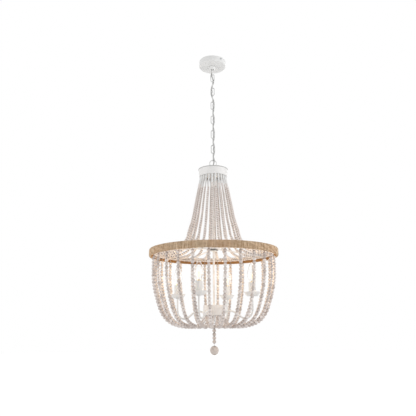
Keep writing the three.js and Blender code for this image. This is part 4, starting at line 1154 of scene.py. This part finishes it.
def addLights():
    chance = random.Random(5)
    glass, brass, glow = glassMaterial(), mottledMaterial("capBrass"), filamentMaterial()
    candle, moulded = candleMaterial(), mottledMaterial("mouldedHolder")
    stem = turnedForm(bulb["stem"], 24, ring=False)  # of glass, with its flare
    for i in range(light["count"]):
        number = i + 1
        x, y, _ = onCircle(light["radius"], math.radians(lightAzimuth(i)))
        forms = [(panForm(), moved(x, y, heights(f"drip_pan_{number}")[0]))]
        makePainted(f"dripPan{number}", forms, satinWhite, f"drip_pan_{number}")
        bottom, top = heights(f"lamp_socket_{number}")
        forms = [(holderForm(top - bottom), moved(x, y, bottom))]
        makePiece(f"lampHolder{number}", forms, moulded, "fixture", "lamp_plastic", f"lamp_socket_{number}")
        bottom, top = heights(f"candle_sleeve_{number}")
        forms = [(sleeveForm(top - bottom, chance), moved(x, y, bottom))]
        makePiece(f"candleCover{number}", forms, candle, "fixture", "candle_white", f"candle_sleeve_{number}")
        seat = heights(f"bulb_{number}")[1] - bulb["glassHeight"]
        place, lamp = moved(x, y, seat), f"lamp_{number}"
        clear = [
            makePiece(f"bulbGlass{number}", [(glassForm(), place)], glass, lamp, "clear_glass",
                      f"bulb_{number}", smoothBelow=60),
            makePiece(f"bulbStem{number}", [(stem, place)], glass, lamp, "clear_glass"),
        ]
        makePiece(f"bulbCap{number}", [(capForm(), place)], brass, lamp, "zinc_steel")
        turned = place @ Matrix.Rotation(chance.uniform(0, math.pi), 4, "Z")
        forms = [(tubeForm(filamentPath(), bulb["filamentWire"], 6), turned)]
        clear.append(makePiece(f"bulbFilament{number}", forms, glow, lamp, "clear_glass"))
        for part in clear:  # the small lamp inside lights the beads, without specks
            part.visible_shadow = part.visible_diffuse = part.visible_glossy = False
        glowLight = bpy.data.lights.new(f"bulbLight{number}", "POINT")
        glowLight.energy = bulb["lampPower"]
        glowLight.color = bulb["lampColor"]
        glowLight.shadow_soft_size = bulb["lampSize"]
        glowLight.cycles.use_multiple_importance_sampling = False
        source = bpy.data.objects.new(f"bulbLight{number}", glowLight)
        source.location = (x, y, seat + bulb["filamentHigh"])
        source.visible_camera = source.visible_glossy = source.visible_transmission = False
        scene.collection.objects.link(source)
        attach(source, lamp)


addLights()
print("lights done")


# Eye, drop strand and ball
eye = {"shank": 2 * mm, "shankCover": 4.6 * mm, "coverLength": 14 * mm, "flange": 9 * mm, "stem": 2.7 * mm,
       "flangeThickness": 3 * mm, "stemReach": 12 * mm, "ring": 3.9 * mm, "wire": 1.1 * mm,
       "spin": (32, 0.5 * mm)}
drop = {"loopRing": 3.6 * mm, "loopWire": 0.9 * mm, "beads": 5, "bead": 7 * mm, "pitch": 13 * mm,
        "wire": 1.1 * mm, "ball": 16 * mm, "hole": 1.6 * mm, "profileSteps": 24}


def wireRing(radius, wire, sides=12, steps=32):
    turns = [2 * math.pi * i / steps for i in range(steps)]
    return tubeForm([(radius * math.cos(t), 0, radius * math.sin(t)) for t in turns], wire, sides, loop=True)


def grainedForm(radius, length, chance, segments):
    # a bored wooden bead or ball, its grain carried as an attribute
    turns = [math.pi * i / drop["profileSteps"] for i in range(drop["profileSteps"] + 1)]
    bm = bmesh.new()
    bm.from_mesh(turnedForm([(max(drop["hole"], radius * math.sin(t)), -length * math.cos(t)) for t in turns],
                            segments))
    tone, pole, grain = beadLayers(bm)
    beadTone, offset = chance.random(), Vector([chance.uniform(0, 90) for _ in range(3)])
    for corner in bm.verts:
        corner[tone] = beadTone
        corner[pole] = abs(corner.co.z) / length
        corner[grain] = corner.co / radius + offset
    return asForm(bm, "grained")


def addEye():
    bottom, top = heights("bottom_eye")
    flangeTop = top - eye["stemReach"]
    flangeBottom = flangeTop - eye["flangeThickness"]
    eyeMiddle = bottom + eye["ring"] + eye["wire"]
    shankEnd = eyeMiddle + eye["ring"]
    coverEnd = flangeBottom - eye["coverLength"]
    above = stepped((eye["shankCover"], eye["flange"], eye["stem"], 0), (flangeBottom, flangeTop, top))
    profile = [(0, shankEnd), (eye["shank"], shankEnd), (eye["shank"], coverEnd - eye["shank"]),
               (eye["shankCover"], coverEnd), *above]
    forms = [(turnedForm(profile, *eye["spin"], ring=False), still),
             (wireRing(eye["ring"], eye["wire"]), up(eyeMiddle))]
    makePainted("bottomEye", forms, mottledWhite, "bottom_eye")


def addDrop():
    chance = random.Random(3)
    wood = beadMaterial("greyWashedWood", tint(206, 192, 182), tint(178, 164, 154), tint(120, 104, 94))
    wireEnd, top = heights("drop_strand")
    loopMiddle = top - drop["loopRing"] - drop["loopWire"]
    beadsTop = loopMiddle - drop["loopRing"] - drop["loopWire"]
    quarter = Matrix.Rotation(math.pi / 2, 4, "Z")
    wireHeights = (beadsTop + drop["loopWire"], (beadsTop + wireEnd) / 2, wireEnd)
    forms = [(wireRing(drop["loopRing"], drop["loopWire"]), up(loopMiddle) @ quarter),
             (tubeForm([(0, 0, z) for z in wireHeights], drop["wire"], 12), still)]
    makePiece("dropWire", forms, mottledWhite, "drop", "white_paint")
    forms = [(grainedForm(drop["bead"], drop["pitch"] / 2, chance, 32),
              up(beadsTop - (i + 0.5) * drop["pitch"])) for i in range(drop["beads"])]
    makePiece("dropBeads", forms, wood, "drop", "washed_wood", "drop_strand", smoothBelow=60)
    forms = [(grainedForm(drop["ball"], drop["ball"], chance, 64), up(sum(heights("drop_ball")) / 2))]
    makePiece("dropBall", forms, wood, "drop", "washed_wood", "drop_ball", smoothBelow=60)


addEye()
addDrop()
print("drop done")
